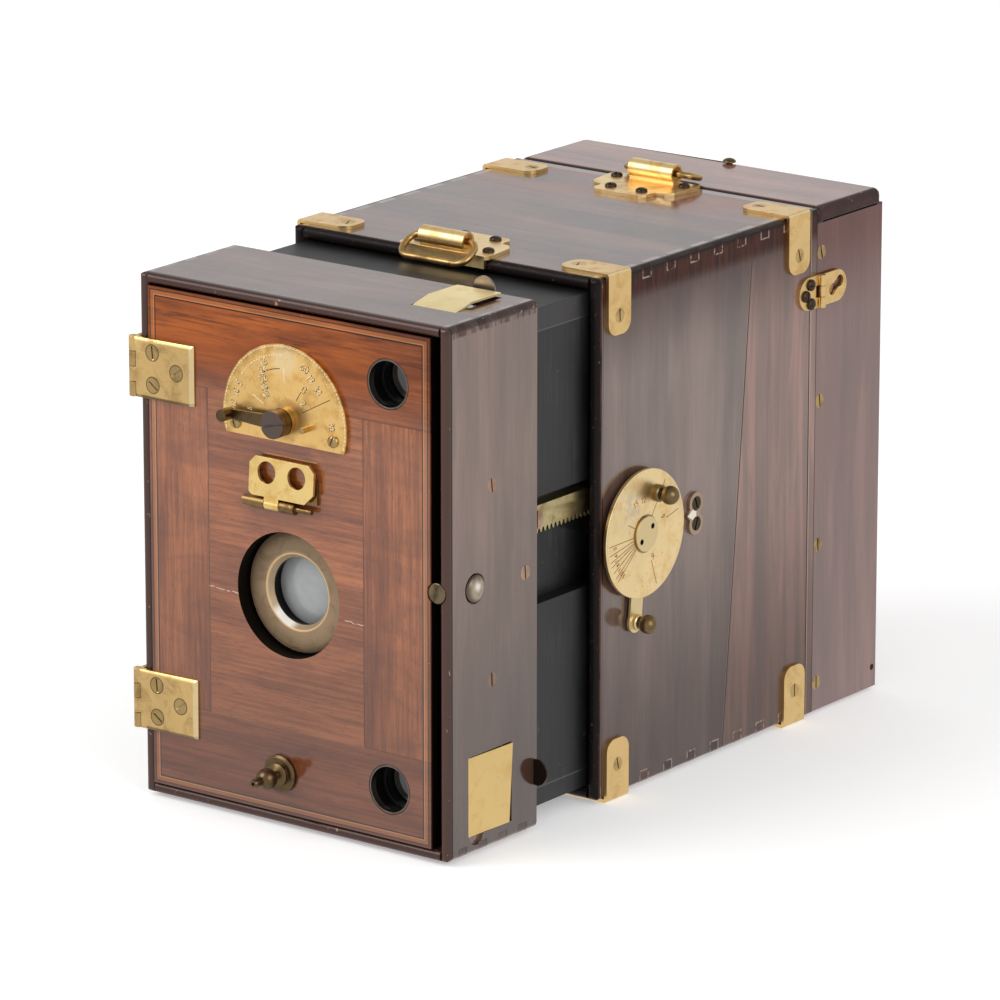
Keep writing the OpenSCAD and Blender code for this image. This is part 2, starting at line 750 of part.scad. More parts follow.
module dial_index() {
    point_y = index_y - index_lobe_r - 1.6;
    color(steel) difference() {
        union() {
            for (s = [-1, 1])
                bar_x(case_x, case_x + index_t, index_y, index_z + s * index_lobe_at, index_lobe_r);
            translate([case_x, index_y, index_z]) rotate([90, 0, 90]) linear_extrude(index_t)
                polygon([[point_y - index_y, 0], [-1, -5], [2.4, -3], [2.4, 3], [-1, 5]]);
        }
        flat_holes(index_screws, "right");
    }
}
module pinion_bush() {
    color(dull_brass) difference() {
        union() {
            bar_x(case_x - case_wall, case_x + bush_flange_t, dial_y, dial_z, bush_r);
            bar_x(case_x, case_x + bush_flange_t, dial_y, dial_z, bush_flange_r);
            bar_x(case_x, lever_x + clamp_t, dial_y, dial_z, bush_r - 1);
        }
        bar_x(case_x - case_wall - past, disc_x + past, dial_y, dial_z, shaft_r + run_gap);
    }
}
module hasp_plate() {
    color(brass) {
        difference() {
            union() {
                block([case_x, hasp_y0 + hasp_half, hasp_z - hasp_half],
                    [case_x + hasp_t, case_y1 - 0.2, hasp_z + hasp_half]);
                bar_x(case_x, case_x + hasp_t, hasp_y0 + hasp_half, hasp_z, hasp_half);
                translate([hasp_x, hasp_y, hasp_z]) knuckles(2 * hasp_half, 3, 0, hasp_r);
                for (s = [-1, 1]) block([case_x, case_y1 - 1.2, hasp_z + s * hasp_half * 0.7 - 1.8],
                    [hasp_x, hasp_y - 0.3, hasp_z + s * hasp_half * 0.7 + 1.8]);
            }
            round_holes(hasp_screw_list, "right");
            block([case_x - past, hasp_y - 3, hasp_z - 2.3], [hasp_x + 3, hasp_y + 3, hasp_z + 2.3]);
        }
        bar_z(hasp_x, hasp_y, hasp_z - hasp_half, hasp_z + hasp_half, hasp_pin_r);
    }
}
module tripod_plate() {
    color(brass) difference() {
        union() {
            bar_z(0, 0, 0, z0, tripod_r);
            bar_z(0, 0, 0, z0 + case_wall, tripod_boss_r);
        }
        bar_z(0, 0, -past, z0 + case_wall + past, tripod_bore_r);
        flat_holes(tripod_screws, "under");
    }
}

// Leaves of the side hinges, on a vertical pin through the origin, lying along +Y on the outer side
module side_leaf(own, reach, inner) {
    difference() {
        union() {
            difference() {
                block([inner - hinge_t, 0, -hinge_h / 2], [inner, reach, hinge_h / 2]);
                knuckle_cuts(hinge_h, knuckle_n, 1 - own, hinge_r);
            }
            knuckles(hinge_h, knuckle_n, own, hinge_r);
        }
        if (own == 1) bar_z(0, 0, -hinge_h, hinge_h, hinge_pin_r + run_gap);
    }
    if (own == 0) bar_z(0, 0, -hinge_h / 2, hinge_h / 2, hinge_pin_r);
}
module back_hinge_fixed() {
    color(brass) difference() {
        for (z = back_hinge_z) translate([back_hinge_x, back_hinge_y, z]) mirror([0, 1, 0])
            side_leaf(0, fixed_reach, -case_x - back_hinge_x);
        flat_holes(case_hinge_screws, "left");
    }
}

// Front box
module front_left() {
    color(dark_wood) difference() {
        upright_board([-front_x, front_y0, z0], front_len, front_wall, front_h);
        front_fingers(z0);
        front_fingers(front_top_z - front_wall);
        flat_holes(concat(carriage_screw_list, fixed_hinge_screws), "left");
    }
}
module front_right() {
    color(dark_wood) difference() {
        upright_board([inner_x, front_y0, z0], front_len, front_wall, front_h);
        front_fingers(z0);
        front_fingers(front_top_z - front_wall);
        flat_holes(carriage_screw_list, "right");
        bar_x(inner_x - past, front_x + past, button_y, button_z, button_r + run_gap);
        bar_x(front_x - thumb_d, front_x + past, button_y, button_z, button_r + 0.5);
        bar_y(stud_x, front_y0 - past, door_y0 + 6, stud_z, stud_r + 0.35);
        side_recess();
        side_tab();
        bar_x(front_x - thumb_d, front_x + past, side_cover_y0 + 4.4, side_cover_z - side_cover_h / 2,
            thumb_r);
    }
}
module side_recess() {
    low = side_cover_z - side_cover_h / 2;
    block([front_x - recess_d, side_cover_y0 - cover_gap, low - cover_gap],
        [front_x + past, side_cover_y1 + cover_gap, low + side_cover_h + cover_gap]);
    side_window();
    bar_z(front_x - 1, side_cover_y0 + 1, low - 2.5, low + side_cover_h + 2.5, cover_pin_r + run_gap);
}
module side_window() {
    block([inner_x - past, side_cover_y0 + window_in, side_cover_z - side_cover_h / 2 + 5],
        [front_x - recess_d + past / 10, side_cover_y1 - window_in, side_cover_z + side_cover_h / 2 - 5]);
}
module front_level(low) {
    level_board([-inner_x, front_y0, low], front_len, front_wall, 2 * inner_x);
    front_fingers(low);
}
module front_top() {
    color(dark_wood) difference() {
        front_level(front_top_z - front_wall);
        block([cover_x - cover_w / 2 - cover_gap, cover_y0 - cover_gap, front_top_z - recess_d],
            [cover_x + cover_w / 2 + cover_gap, cover_y1 + cover_gap, front_top_z + past]);
        top_window();
        bar_x(cover_x - cover_w / 2 - 2.5, cover_x + cover_w / 2 + 2.5, cover_y0 + 1, front_top_z - 1,
            cover_pin_r + run_gap);
        top_tab();
    }
}
module top_window() {
    block([cover_x - cover_w / 2 + window_in, cover_y0 + window_in, front_top_z - front_wall - past],
        [cover_x + cover_w / 2 - window_in, cover_y1 - window_in - 1, front_top_z - recess_d + past / 10]);
}
module front_bottom() { color(dark_wood) front_level(z0); }
module top_tab() { bar_y(cover_x, tab_y - tab_t / 2, tab_y + tab_t / 2, front_top_z + tab_out, tab_r); }
module side_tab() { bar_y(front_x + tab_out, tab_y - tab_t / 2, tab_y + tab_t / 2, side_cover_z, tab_r); }
module finder_tabs() {
    color(steel) {
        top_tab();
        side_tab();
    }
}

// Focusing tube with the flange that holds it in the front box, and its rack
module focus_tube() {
    color(black) difference() {
        union() {
            block([-tube_x, front_y1 - tube_flange_t, tube_z0], [tube_x, tube_y1, tube_z1]);
            block([-inner_x, front_y1 - tube_flange_t, z0 + front_wall],
                [inner_x, front_y1, front_top_z - front_wall]);
        }
        block([-tube_x + tube_side_t, front_y1 - tube_flange_t - past, tube_z0 + tube_top_t],
            [tube_x - tube_side_t, tube_y1 + past, tube_z1 - tube_top_t]);
        block([floor_x, front_y1, dial_z - channel_down], [case_x, tube_y1 + past, dial_z + channel_up]);
        flat_holes(carriage_screw_list, "right");
        flat_holes(carriage_screw_list, "left");
        at_rack_screw() rack_screw_shank(past);
    }
}
// The wide countersunk screw at the front end of the rack
module at_rack_screw() {
    on_face([floor_x + rack_w, rack_front + rack_screw_in, dial_z + rack_screw_up], "right") children();
}
module rack_screw_shank(over) {
    translate([0, 0, -rack_w - rack_screw_bite])
        cylinder(h = rack_w + rack_screw_bite - head_d + over, r = shank_r, $fn = 16);
}
module rack_screw_head() {
    translate([0, 0, -head_d]) cylinder(h = head_d, r1 = shank_r, r2 = rack_screw_r, $fn = 24);
}
module focus_rack() {
    half = tooth_pitch / 4 - backlash / 4;
    wide = dedendum * tooth_slope;
    narrow = addendum * tooth_slope;
    color(dull_brass) difference() {
        translate([floor_x, rack_front, dial_z + pitch_r]) rotate([90, 0, 90]) linear_extrude(rack_w)
            union() {
                translate([0, dedendum]) square([rack_teeth * tooth_pitch, rack_bar_h - dedendum]);
                for (i = [0:rack_teeth - 1]) translate([(i + 0.5) * tooth_pitch, 0]) polygon([
                    [-half - wide, dedendum + 0.1], [-half + narrow, -addendum],
                    [half - narrow, -addendum], [half + wide, dedendum + 0.1]]);
            }
        at_rack_screw() {
            rack_screw_shank(0);
            rack_screw_head();
            cylinder(h = past, r = rack_screw_r, $fn = 24);
        }
    }
}

// Finder boxes: a camera-obscura for each finder, open to the top or to the right
module finder_box(open_to) {
    difference() {
        block([-finder_half, finder_y0, -finder_half], [finder_half, finder_y1, open_to]);
        block([-finder_half + finder_t, finder_y0 + finder_t, -finder_half + finder_t],
            [finder_half - finder_t, finder_y1 - finder_t, open_to + past]);
        bar_y(0, finder_y0 - past, finder_y0 + finder_t + past, 0, rim_r - 0.8);
    }
}
module to_upper() { translate([finder_x, 0, upper_z]) children(); }
module to_lower() { translate([finder_x, 0, lower_z]) rotate([0, 90, 0]) children(); }
module finder_boxes() {
    color(black) {
        to_upper() finder_box(front_top_z - front_wall - upper_z);
        to_lower() finder_box(inner_x - finder_x);
    }
}
module finder_mirror(y) {
    w = finder_half - finder_t;
    translate([0, y, 0]) rotate([45, 0, 0]) block([-w, -14, -1], [w, 14, 0]);
}
module finder_mirrors() {
    color(steel) {
        to_upper() finder_mirror((cover_y0 + cover_y1) / 2);
        to_lower() finder_mirror((side_cover_y0 + side_cover_y1) / 2);
    }
}
module finder_lens() { bar_y(0, finder_y0, finder_y0 + finder_t, 0, rim_r - 0.8); }
module finder_glass() {
    color("#9fb4b0") {
        to_upper() finder_lens();
        to_lower() finder_lens();
        intersection() {
            top_window();
            block([0, front_y0, front_top_z - front_wall],
                [front_x, front_y1, front_top_z - front_wall + screen_t]);
        }
        intersection() {
            side_window();
            block([inner_x, front_y0, z0], [inner_x + screen_t, front_y1, front_top_z]);
        }
    }
}
module carriage_screws() {
    color(steel) {
        flat_screws(concat(carriage_screw_list, fixed_hinge_screws));
        at_rack_screw() difference() {
            union() {
                rack_screw_head();
                rack_screw_shank(0);
            }
            translate([-rack_screw_r - past, -slot_w / 2, -slot_d])
                cube([2 * (rack_screw_r + past), slot_w, slot_d + past]);
        }
    }
}
module door_hinge_fixed() {
    color(brass) difference() {
        for (z = hinge_z) translate([hinge_x, hinge_y, z])
            side_leaf(0, fixed_reach, -front_x - hinge_x);
        flat_holes(fixed_hinge_screws, "left");
    }
}

// Door and what it carries
module door_opening() {
    block([door_x0 + stile_l, door_y0 - past, door_z0 + rail_bottom],
        [door_x1 - stile_r, door_y1 + past, door_z1 - rail_top]);
}
module finder_holes(r) {
    for (z = [lower_z, upper_z]) bar_y(finder_x, door_y0 - past, door_y1 + past, z, r);
}
module stud_disc() { bar_y(stud_x, door_y0 + 0.4, door_y0 + 4, stud_z, stud_r); }
module door_frame() {
    color(door_wood) difference() {
        block([door_x0, door_y0, door_z0], [door_x1, door_y1, door_z1]);
        door_opening();
        finder_holes(rim_r);
        flat_holes(door_hinge_screws, "front");
        bar_y(air_x, door_y0 - past, door_y1 + past, air_z, air_duct_r);
        stud_cut();
    }
}
module stud_cut() { bar_y(stud_x, door_y0 - past, door_y0 + 4, stud_z, stud_r); }
module door_panel() {
    color(door_wood) difference() {
        intersection() {
            door_opening();
            block([door_x0, door_y0, door_z0], [door_x1, door_y1, door_z1]);
        }
        bar_y(lens_x, door_y0 - past, door_y1 + past, lens_z, lens_hole_r);
        round_holes(dial_screws, "front");
        bar_y(lens_x, door_y0 - past, door_y0 + 4, speed_z, speed_shank_r);
        leaf_screw_bars(past);
    }
}
// The two screws behind the two-hole leaf, from a height in front of the door
module leaf_screw_bars(up) {
    for (s = [-1, 1]) bar_y(leaf_x0 + leaf_w / 2 + s * leaf_screw_half, door_y0 - up, door_y0 + 3,
        leaf_z + leaf_screw_up, leaf_screw_r);
}
module door_hinge_leaves() {
    color(brass) difference() {
        for (z = hinge_z) translate([hinge_x, hinge_y, z]) {
            difference() {
                block([0, door_y0 - hinge_t - hinge_y, -hinge_h / 2],
                    [hinge_reach, door_y0 - hinge_y, hinge_h / 2]);
                knuckle_cuts(hinge_h, knuckle_n, 0, hinge_r);
            }
            knuckles(hinge_h, knuckle_n, 1, hinge_r);
        }
        for (z = hinge_z) bar_z(hinge_x, hinge_y, z - hinge_h, z + hinge_h, hinge_pin_r + run_gap);
        flat_holes(door_hinge_screws, "front");
    }
}
module door_screws() {
    color(steel) {
        flat_screws(door_hinge_screws);
        round_screws(dial_screws);
        bar_y(lens_x + stop_at, speed_y0 - stop_l, speed_y0, speed_z - 1.1, stop_r);
        difference() {
            translate([lens_x, speed_y0, speed_z]) rotate([90, 0, 0]) {
                translate([0, 0, -4]) cylinder(h = 4 + speed_collar_t, r = speed_shank_r);
                cylinder(h = speed_collar_t, r = speed_hub_r);
                cylinder(h = speed_stack - 1, r = speed_shank_r);
                translate([0, 0, speed_stack - speed_head_t]) cylinder(h = speed_head_t, r = speed_hub_r);
            }
            translate([lens_x, speed_y0 - speed_stack, speed_z]) rotate([90, -15, 0])
                translate([-speed_hub_r - past, -speed_slot_w / 2, -1])
                    cube([2 * (speed_hub_r + past), speed_slot_w, 2]);
        }
    }
}
module speed_dial() {
    color(brass) difference() {
        bar_y(lens_x, speed_y0, door_y0, speed_z, speed_r);
        block([lens_x - speed_r - past, speed_y0 - past, speed_z - speed_r - past],
            [lens_x + speed_r + past, door_y0 + past, speed_z - speed_cut]);
        round_holes(dial_screws, "front");
        bar_y(lens_x, speed_y0 - past, door_y0 + past, speed_z, speed_shank_r);
    }
}
module finder_rims() {
    color("#b8b8b4") difference() {
        for (z = [lower_z, upper_z]) bar_y(finder_x, door_y0, door_y0 + 3, z, rim_r);
        finder_holes(rim_r - rim_t);
    }
}
module air_nipple() {
    ball_up = 8.6;
    color(dull_brass) turned_front(air_x, door_y0, air_z) polygon(concat(
        [[air_bore_r, -door_t], [air_duct_r, -door_t], [air_duct_r, 0], [7.2, 0], [7.2, 1.3], [6.3, 2],
            [4.5, 2], [4.5, 3], [3.4, 3.6], [2, 4.2]],
        [for (a = [-60:15:60]) [4 * cos(a), ball_up + 4 * sin(a)]],
        [[1.7, 12.4], [1.7, 15.8], [1.3, 16.6], [air_bore_r, 16.6]]));
}
module lens_mount() {
    color(brass) turned_front(lens_x, board_y0, lens_z) polygon([[clear_r, 0.2], [mouth_r, face_t],
        [face_r, face_t], [flange_r, flange_t], [flange_r, 0], [barrel_r, 0], [barrel_r, -barrel_len],
        [clear_r, -barrel_len], [clear_r, -barrel_len + 1], [glass_r, -barrel_len + 1], [glass_r, -1.2],
        [clear_r, -1.2]]);
}
module lens_glasses() {
    color("#a8b4b4") {
        turned_front(lens_x, board_y0, lens_z) polygon(concat([[0, -6], [glass_r, -6], [glass_r, -3]],
            [for (a = [10:-2:0]) [glass_r * a / 10.5, -1.6 - 1.4 * a * a / 110]]));
        turned_front(lens_x, board_y0, lens_z)
            polygon([[0, -22.6], [glass_r, -22.6], [glass_r, -18.6], [0, -18]]);
    }
}
module leaf_hinge_base() {
    color(brass) difference() {
        translate([leaf_x0, 0, 0]) {
            for (p = [[0, leaf_w, leaf_base_low], [0, leaf_ear_w, leaf_base_h],
                [leaf_w - leaf_ear_w, leaf_w, leaf_base_h]])
                block([p[0], door_y0 - leaf_base_t, leaf_z + leaf_r + 0.3], [p[1], door_y0, leaf_z + p[2]]);
            for (x = [leaf_end, leaf_end + 2 * (knuckle_w + knuckle_gap)]) {
                bar_x(x, x + knuckle_w, leaf_y, leaf_z, leaf_r);
                block([x, door_y0 - leaf_base_t, leaf_z], [x + knuckle_w, door_y0, leaf_z + leaf_r + 0.4]);
            }
            bar_x(-3.2, leaf_end + 0.1, leaf_y, leaf_z, leaf_r * 0.9);
            bar_x(-3.6, leaf_w - 1.6, leaf_y, leaf_z, leaf_pin_r);
        }
        leaf_screw_bars(leaf_base_t + past);
    }
    color(steel) leaf_screw_bars(leaf_base_t);
}
module door_stud() { color(steel) stud_disc(); }
module shutter_board() {
    color(black) {
        difference() {
            block([lens_x - shutter_board_half, board_y0, lens_z - shutter_board_low],
                [lens_x + shutter_board_half, board_y1, shutter_z + shutter_board_high]);
            bar_y(lens_x, board_y0 - past, board_y1 + past, lens_z, barrel_r);
        }
        bar_y(lens_x, board_y1, shutter_y0 - 0.4, shutter_z, shutter_post_r);
        bar_y(lens_x, board_y1, shutter_y0 + shutter_t + 2, shutter_z, shutter_pivot_r);
    }
}
module air_cylinder() {
    axis_y = door_y1 + 3 + cylinder_r;
    color(dull_brass) difference() {
        union() {
            bar_z(air_x, axis_y, air_z - 6, air_z - 6 + cylinder_len, cylinder_r);
            block([air_x - 5, door_y1, air_z - 5], [air_x + 5, axis_y, air_z + 5]);
        }
        bar_z(air_x, axis_y, air_z - 4, air_z + cylinder_len, cylinder_bore);
        bar_y(air_x, door_y1 - past, axis_y, air_z, 1.2);
    }
}
module air_piston() {
    axis_y = door_y1 + 3 + cylinder_r;
    color(steel) {
        bar_z(air_x, axis_y, air_z + 3, air_z + 8, cylinder_bore - run_gap);
        bar_z(air_x, axis_y, air_z + 7, air_z + 22, rod_r);
        bar_z(air_x, axis_y, air_z + 21, air_z + 23, 2.6);
    }
}
module speed_lever() {
    y0 = speed_y0 - speed_collar_t - face_gap;
    y1 = y0 - speed_hub_t;
    color(steel) difference() {
        translate([lens_x, y0, speed_z]) rotate([90, 0, 0]) {
            cylinder(h = speed_hub_t, r = speed_hub_r - 0.1);
            linear_extrude(speed_arm_t) polygon([[-2, 3.6], [-8, 2.2], [-speed_arm, 1.7],
                [-speed_arm, -1.7], [-8, -2.6], [-2, -4]]);
            translate([-speed_arm, 0, 0]) cylinder(h = speed_knob_l, r = speed_knob_r);
        }
        bar_y(lens_x, y1 - past, y0 + past, speed_z, speed_shank_r + run_gap);
    }
}
module two_hole_leaf() {
    c = leaf_corner;
    low = leaf_r + 0.5;
    mid = leaf_end + knuckle_w + knuckle_gap;
    color(brass) translate([leaf_x0, leaf_y, leaf_z]) rotate([-leaf_lean, 0, 0]) difference() {
        union() {
            translate([0, leaf_set + leaf_t - leaf_r, 0]) rotate([90, 0, 0]) linear_extrude(leaf_t)
                polygon([[c / 2, low], [leaf_w - 1.5 * c, low], [leaf_w, low + 1.5 * c], [leaf_w, leaf_h - c],
                    [leaf_w - c, leaf_h], [c, leaf_h], [0, leaf_h - c], [0, low + c / 2]]);
            block([mid, leaf_set - leaf_r, 0], [mid + knuckle_w, leaf_set + leaf_t - leaf_r, leaf_r + 1]);
            bar_x(mid, mid + knuckle_w, 0, 0, leaf_r);
        }
        bar_x(mid - past, mid + knuckle_w + past, 0, 0, leaf_pin_r + run_gap);
        for (s = [-1, 1])
            bar_y(leaf_w / 2 + s * leaf_hole_gap / 2, -leaf_r - past, 0, leaf_hole_up, leaf_hole_r);
    }
}

// Finder covers on their pins
module top_finder_cover() {
    z = front_top_z - 1;
    rise = cover_bend_at * tan(cover_bend);
    color(brass) {
        bar_x(cover_x - cover_w / 2, cover_x + cover_w / 2, cover_y0 + 1, z, 0.9);
        bar_x(cover_x - cover_w / 2 - 1.8, cover_x + cover_w / 2 + 1.8, cover_y0 + 1, z, cover_pin_r);
        translate([cover_x - cover_w / 2, cover_y0 + 1, z]) {
            rotate([90, 0, 90]) linear_extrude(cover_w) polygon([[0, 0.1], [cover_bend_at, 0.1 + rise],
                [cover_len - 1, 0.1 + rise], [cover_len - 1, 0.1 + rise + cover_t],
                [cover_bend_at, 0.1 + rise + cover_t], [0, 0.1 + cover_t]]);
        }
    }
}
module side_finder_cover() {
    x = front_x - 1;
    low = side_cover_z - side_cover_h / 2;
    color(brass) {
        bar_z(x, side_cover_y0 + 1, low, low + side_cover_h, 0.9);
        bar_z(x, side_cover_y0 + 1, low - 1.8, low + side_cover_h + 1.8, cover_pin_r);
        translate([x, side_cover_y0 + 1, low]) rotate(-side_cover_lean) rotate([90, 0, 90])
            translate([0, 0, 0.1]) linear_extrude(cover_t) polygon([[0, 0],
                [side_cover_len - 1 - side_cover_cut, 0], [side_cover_len - 1, side_cover_h],
                [0, side_cover_h]]);
    }
}
module release_button() {
    color("#c8c6c0") {
        turned_side(front_x, button_y, button_z) polygon([[0, button_collar_y],
            [button_collar_r, button_collar_y], [button_collar_r, -front_wall - 0.4],
            [button_r, -front_wall - 0.4], [button_r, 0], [4.9, 0.8], [3.6, 1.5], [1.8, 1.9], [0, 2]]);
        block([inner_x - 1.3, door_y0 + 4.4, button_z - 2], [inner_x - 0.4, button_y, button_z + 2]);
    }
}

// Focusing dial, pinion and clamp
module on_shaft() { translate([0, dial_y, dial_z]) rotate([90, 0, 90]) children(); }
module focus_dial() {
    color(brass) difference() {
        bar_x(disc_x, disc_x + dial_t, dial_y, dial_z, dial_r);
        bar_x(disc_x - past, disc_x + dial_t + past, dial_y, dial_z, shaft_r);
    }
}
// Turned knob with a ball, from its profile's foot at height 0
module ball_knob(collar_r) {
    rotate_extrude($fn = 32) polygon(concat([[0, 0], [collar_r, 0], [collar_r, 1.4], [collar_r - 0.6, 2],
        [ball_r / 2, 2]], [for (a = [-60:15:90]) [ball_r * cos(a), 5.5 + ball_r * sin(a)]]));
}
module dial_fittings() {
    color(brass) on_shaft() {
        difference() {
            translate([0, 0, disc_x + dial_t]) cylinder(h = dial_nut_t, r = dial_nut_r);
            for (s = [-1, 1]) rotate(35) translate([s * 4.2, 0, disc_x + dial_t + 0.2])
                cylinder(h = dial_nut_t, r = 0.8, $fn = 16);
        }
        rotate(knob_turn) translate([dial_knob_at, 0, disc_x + dial_t]) ball_knob(3.3);
    }
}
module focus_pinion() {
    half = 360 / (2 * PI * pitch_r) * (tooth_pitch / 4 - backlash / 4);
    low = 360 / (2 * PI * pitch_r) * dedendum * tooth_slope;
    top = 360 / (2 * PI * pitch_r) * addendum * tooth_slope;
    root_r = pitch_r - dedendum;
    tip_r = pitch_r + addendum;
    step = 360 / pinion_teeth;
    phase = (rack_front - dial_y) / tooth_pitch;
    color(brass) on_shaft() {
        translate([0, 0, floor_x + 0.4]) rotate(90 - phase * step)
            linear_extrude(tube_x - floor_x - 0.4) polygon([for (i = [0:pinion_teeth - 1])
                for (p = [[root_r, -half - low], [tip_r, top - half], [tip_r, half - top],
                    [root_r, half + low]]) [p[0] * cos(i * step + p[1]), p[0] * sin(i * step + p[1])]]);
        translate([0, 0, tube_x - past]) cylinder(h = disc_x + dial_t - tube_x + past, r = shaft_r);
    }
}
module clamp_lever() {
    color(brass) on_shaft() rotate(-90 - clamp_lean) translate([0, 0, lever_x]) {
        difference() {
            union() {
                cylinder(h = clamp_t, r = 8);
                linear_extrude(clamp_t) polygon([[0, -7], [10, -4.4], [18, -3.7], [clamp_len, -3.7],
                    [clamp_len, 3.7], [18, 3.7], [10, 4.4], [0, 7]]);
                translate([clamp_len, 0, 0]) cylinder(h = clamp_t, r = 4.25);
            }
            translate([0, 0, -past]) cylinder(h = clamp_t + 2 * past, r = bush_r - 1 + run_gap);
        }
        translate([clamp_len, 0, clamp_t]) ball_knob(3);
    }
}

// Strap ring: a bar through the lug's barrel, closed round the front; hanging along +X of a plan view
module strap_ring() {
    r = ring_bend;
    for (y = [0, ring_reach]) bar_x(-ring_half, ring_half, y, 0, ring_r);
    for (s = [0, 1]) mirror([s, 0, 0]) {
        bar_y(ring_half + r, r, ring_reach - r, 0, ring_r);
        translate([ring_half, r, 0]) rotate(-90) ring_corner();
        translate([ring_half, ring_reach - r, 0]) ring_corner();
    }
}
module ring_corner() {
    rotate_extrude(angle = 90) translate([ring_bend, 0]) circle(r = ring_r, $fn = 24);
}
module front_ring() {
    color("#8a8478") translate([front_lug_x, front_ring_y, lug_axis_z]) rotate([180 + front_ring_drop, 0, 0])
        strap_ring();
}
module rear_ring() {
    color("#8a8478") translate([rear_lug_x, rear_ring_y, lug_axis_z]) rotate([-rear_ring_drop, 0, 0])
        strap_ring();
}
module hasp_leaf() {
    x0 = hasp_x - hasp_r;
    half = hasp_half * 0.97;
    color(brass) difference() {
        union() {
            block([x0, hasp_y + hasp_r, hasp_z - half],
                [x0 + hasp_leaf_t, hasp_y + hasp_leaf_len - half, hasp_z + half]);
            bar_x(x0, x0 + hasp_leaf_t, hasp_y + hasp_leaf_len - half, hasp_z, half);
            block([x0, hasp_y, hasp_z - 2], [x0 + hasp_leaf_t, hasp_y + hasp_r + 0.5, hasp_z + 2]);
            bar_z(hasp_x, hasp_y, hasp_z - 2, hasp_z + 2, hasp_r);
        }
        bar_z(hasp_x, hasp_y, hasp_z - 3, hasp_z + 3, hasp_pin_r + run_gap);
        for (p = hasp_slot) bar_x(x0 - past, x0 + 2, hasp_y + p[0], hasp_z + p[1], hasp_slot_r);
        translate([x0 - past, hasp_y + hasp_slot[0][0], hasp_z + hasp_slot[0][1]])
            rotate([atan2(hasp_slot[1][1] - hasp_slot[0][1], hasp_slot[1][0] - hasp_slot[0][0]), 0, 0])
                block([0, 0, -hasp_slot_r + 0.5], [3, norm(hasp_slot[1] - hasp_slot[0]), hasp_slot_r - 0.5]);
    }
}
module shutter_disc() {
    color(black) difference() {
        bar_y(lens_x, shutter_y0, shutter_y0 + shutter_t, shutter_z, shutter_r);
        bar_y(lens_x, shutter_y0 - past, shutter_y0 + 2 * past, shutter_z, shutter_pivot_r + run_gap);
        bar_y(lens_x, shutter_y0 - past, shutter_y0 + 2 * past, lens_z, clear_r);
    }
}

// Rear box
module back_sides() {
    color(dark_wood) difference() {
        for (s = [-1, 1]) mirror([s > 0 ? 0 : 1, 0, 0]) difference() {
            block([back_inner, back_y0, z0], [back_x, back_y1, back_under_z]);
            block([back_x - 2, back_y0 + 3.4, side_top_z],
                [back_x + past, back_y1 - 3.6, back_under_z + past]);
        }
        flat_holes(concat(back_screw_list, box_hinge_screws), "left");
        flat_holes(back_screw_list, "right");
        bar_x(-back_x - past, back_x + past, rear_pivot_y, rear_pivot_z, rear_pin_r + run_gap);
        bar_x(back_x - 3, back_x + past, hasp_y + hasp_slot[0][0], hasp_z + hasp_slot[0][1], 1);
    }
}
module back_top() {
    color(dark_wood) difference() {
        block([-back_x, back_y0, back_under_z], [back_x, back_y1, back_top_z]);
        bar_z(catch_x, catch_y, back_under_z - past, back_top_z + past, catch_r + run_gap);
    }
}
module back_bottom() {
    color(dark_wood) difference() {
        block([-back_inner, back_y0, z0], [back_inner, back_y1, z0 + back_wall]);
    }
}
module back_screws() {
    color(steel) {
        flat_screws(concat(back_screw_list, box_hinge_screws));
        bar_x(back_x - 3, back_x, hasp_y + hasp_slot[0][0], hasp_z + hasp_slot[0][1], 1);
        bar_x(back_x, back_x + hasp_stud_h, hasp_y + hasp_slot[0][0], hasp_z + hasp_slot[0][1], hasp_stud_r);
    }
}
module back_hinge_leaves() {
    color(brass) difference() {
        for (z = back_hinge_z) translate([back_hinge_x, back_hinge_y, z])
            side_leaf(1, back_reach, -back_x - back_hinge_x);
        flat_holes(box_hinge_screws, "left");
    }
}
module plate_holders() {
    step = holder_t + 0.6;
    top = back_under_z - 8;
    color("#3a2a22") for (i = [0:2]) difference() {
        block([-back_inner + 0.3, back_y0 + 0.8 + i * step, z0 + back_wall],
            [back_inner - 0.3, back_y0 + 0.8 + i * step + holder_t, top]);
        block([-window_w / 2 + 3, back_y0 + 0.8 + i * step - past, z0 + back_wall + 12],
            [window_w / 2 - 3, back_y0 + 0.8 + i * step + 2, top - 12]);
        block([-12, back_y0 + 0.8 + i * step + 3, top - 4], [12, back_y0 + 0.8 + i * step + 8, top + past]);
    }
}
module rear_door() {
    color(dark_wood) {
        block([-back_inner + rear_door_gap, rear_door_y0, rear_pivot_z],
            [back_inner - rear_door_gap, back_y1, back_under_z - rear_door_gap]);
        bar_x(-back_inner + rear_door_gap, back_inner - rear_door_gap, rear_pivot_y, rear_pivot_z,
            rear_door_t / 2);
        bar_x(-back_x + 1.5, back_x - 1.5, rear_pivot_y, rear_pivot_z, rear_pin_r);
    }
}
module rear_catch_pin() {
    color(steel) {
        bar_z(catch_x, catch_y, back_under_z - 0.1, back_top_z + 1, catch_r);
        translate([catch_x, catch_y, back_top_z + 0.2]) rotate_extrude() polygon(concat([[0, 0]],
            [for (a = [0:15:90]) [catch_knob_r * cos(a), 0.4 + (catch_knob_h - 0.6) * sin(a)]]));
    }
}

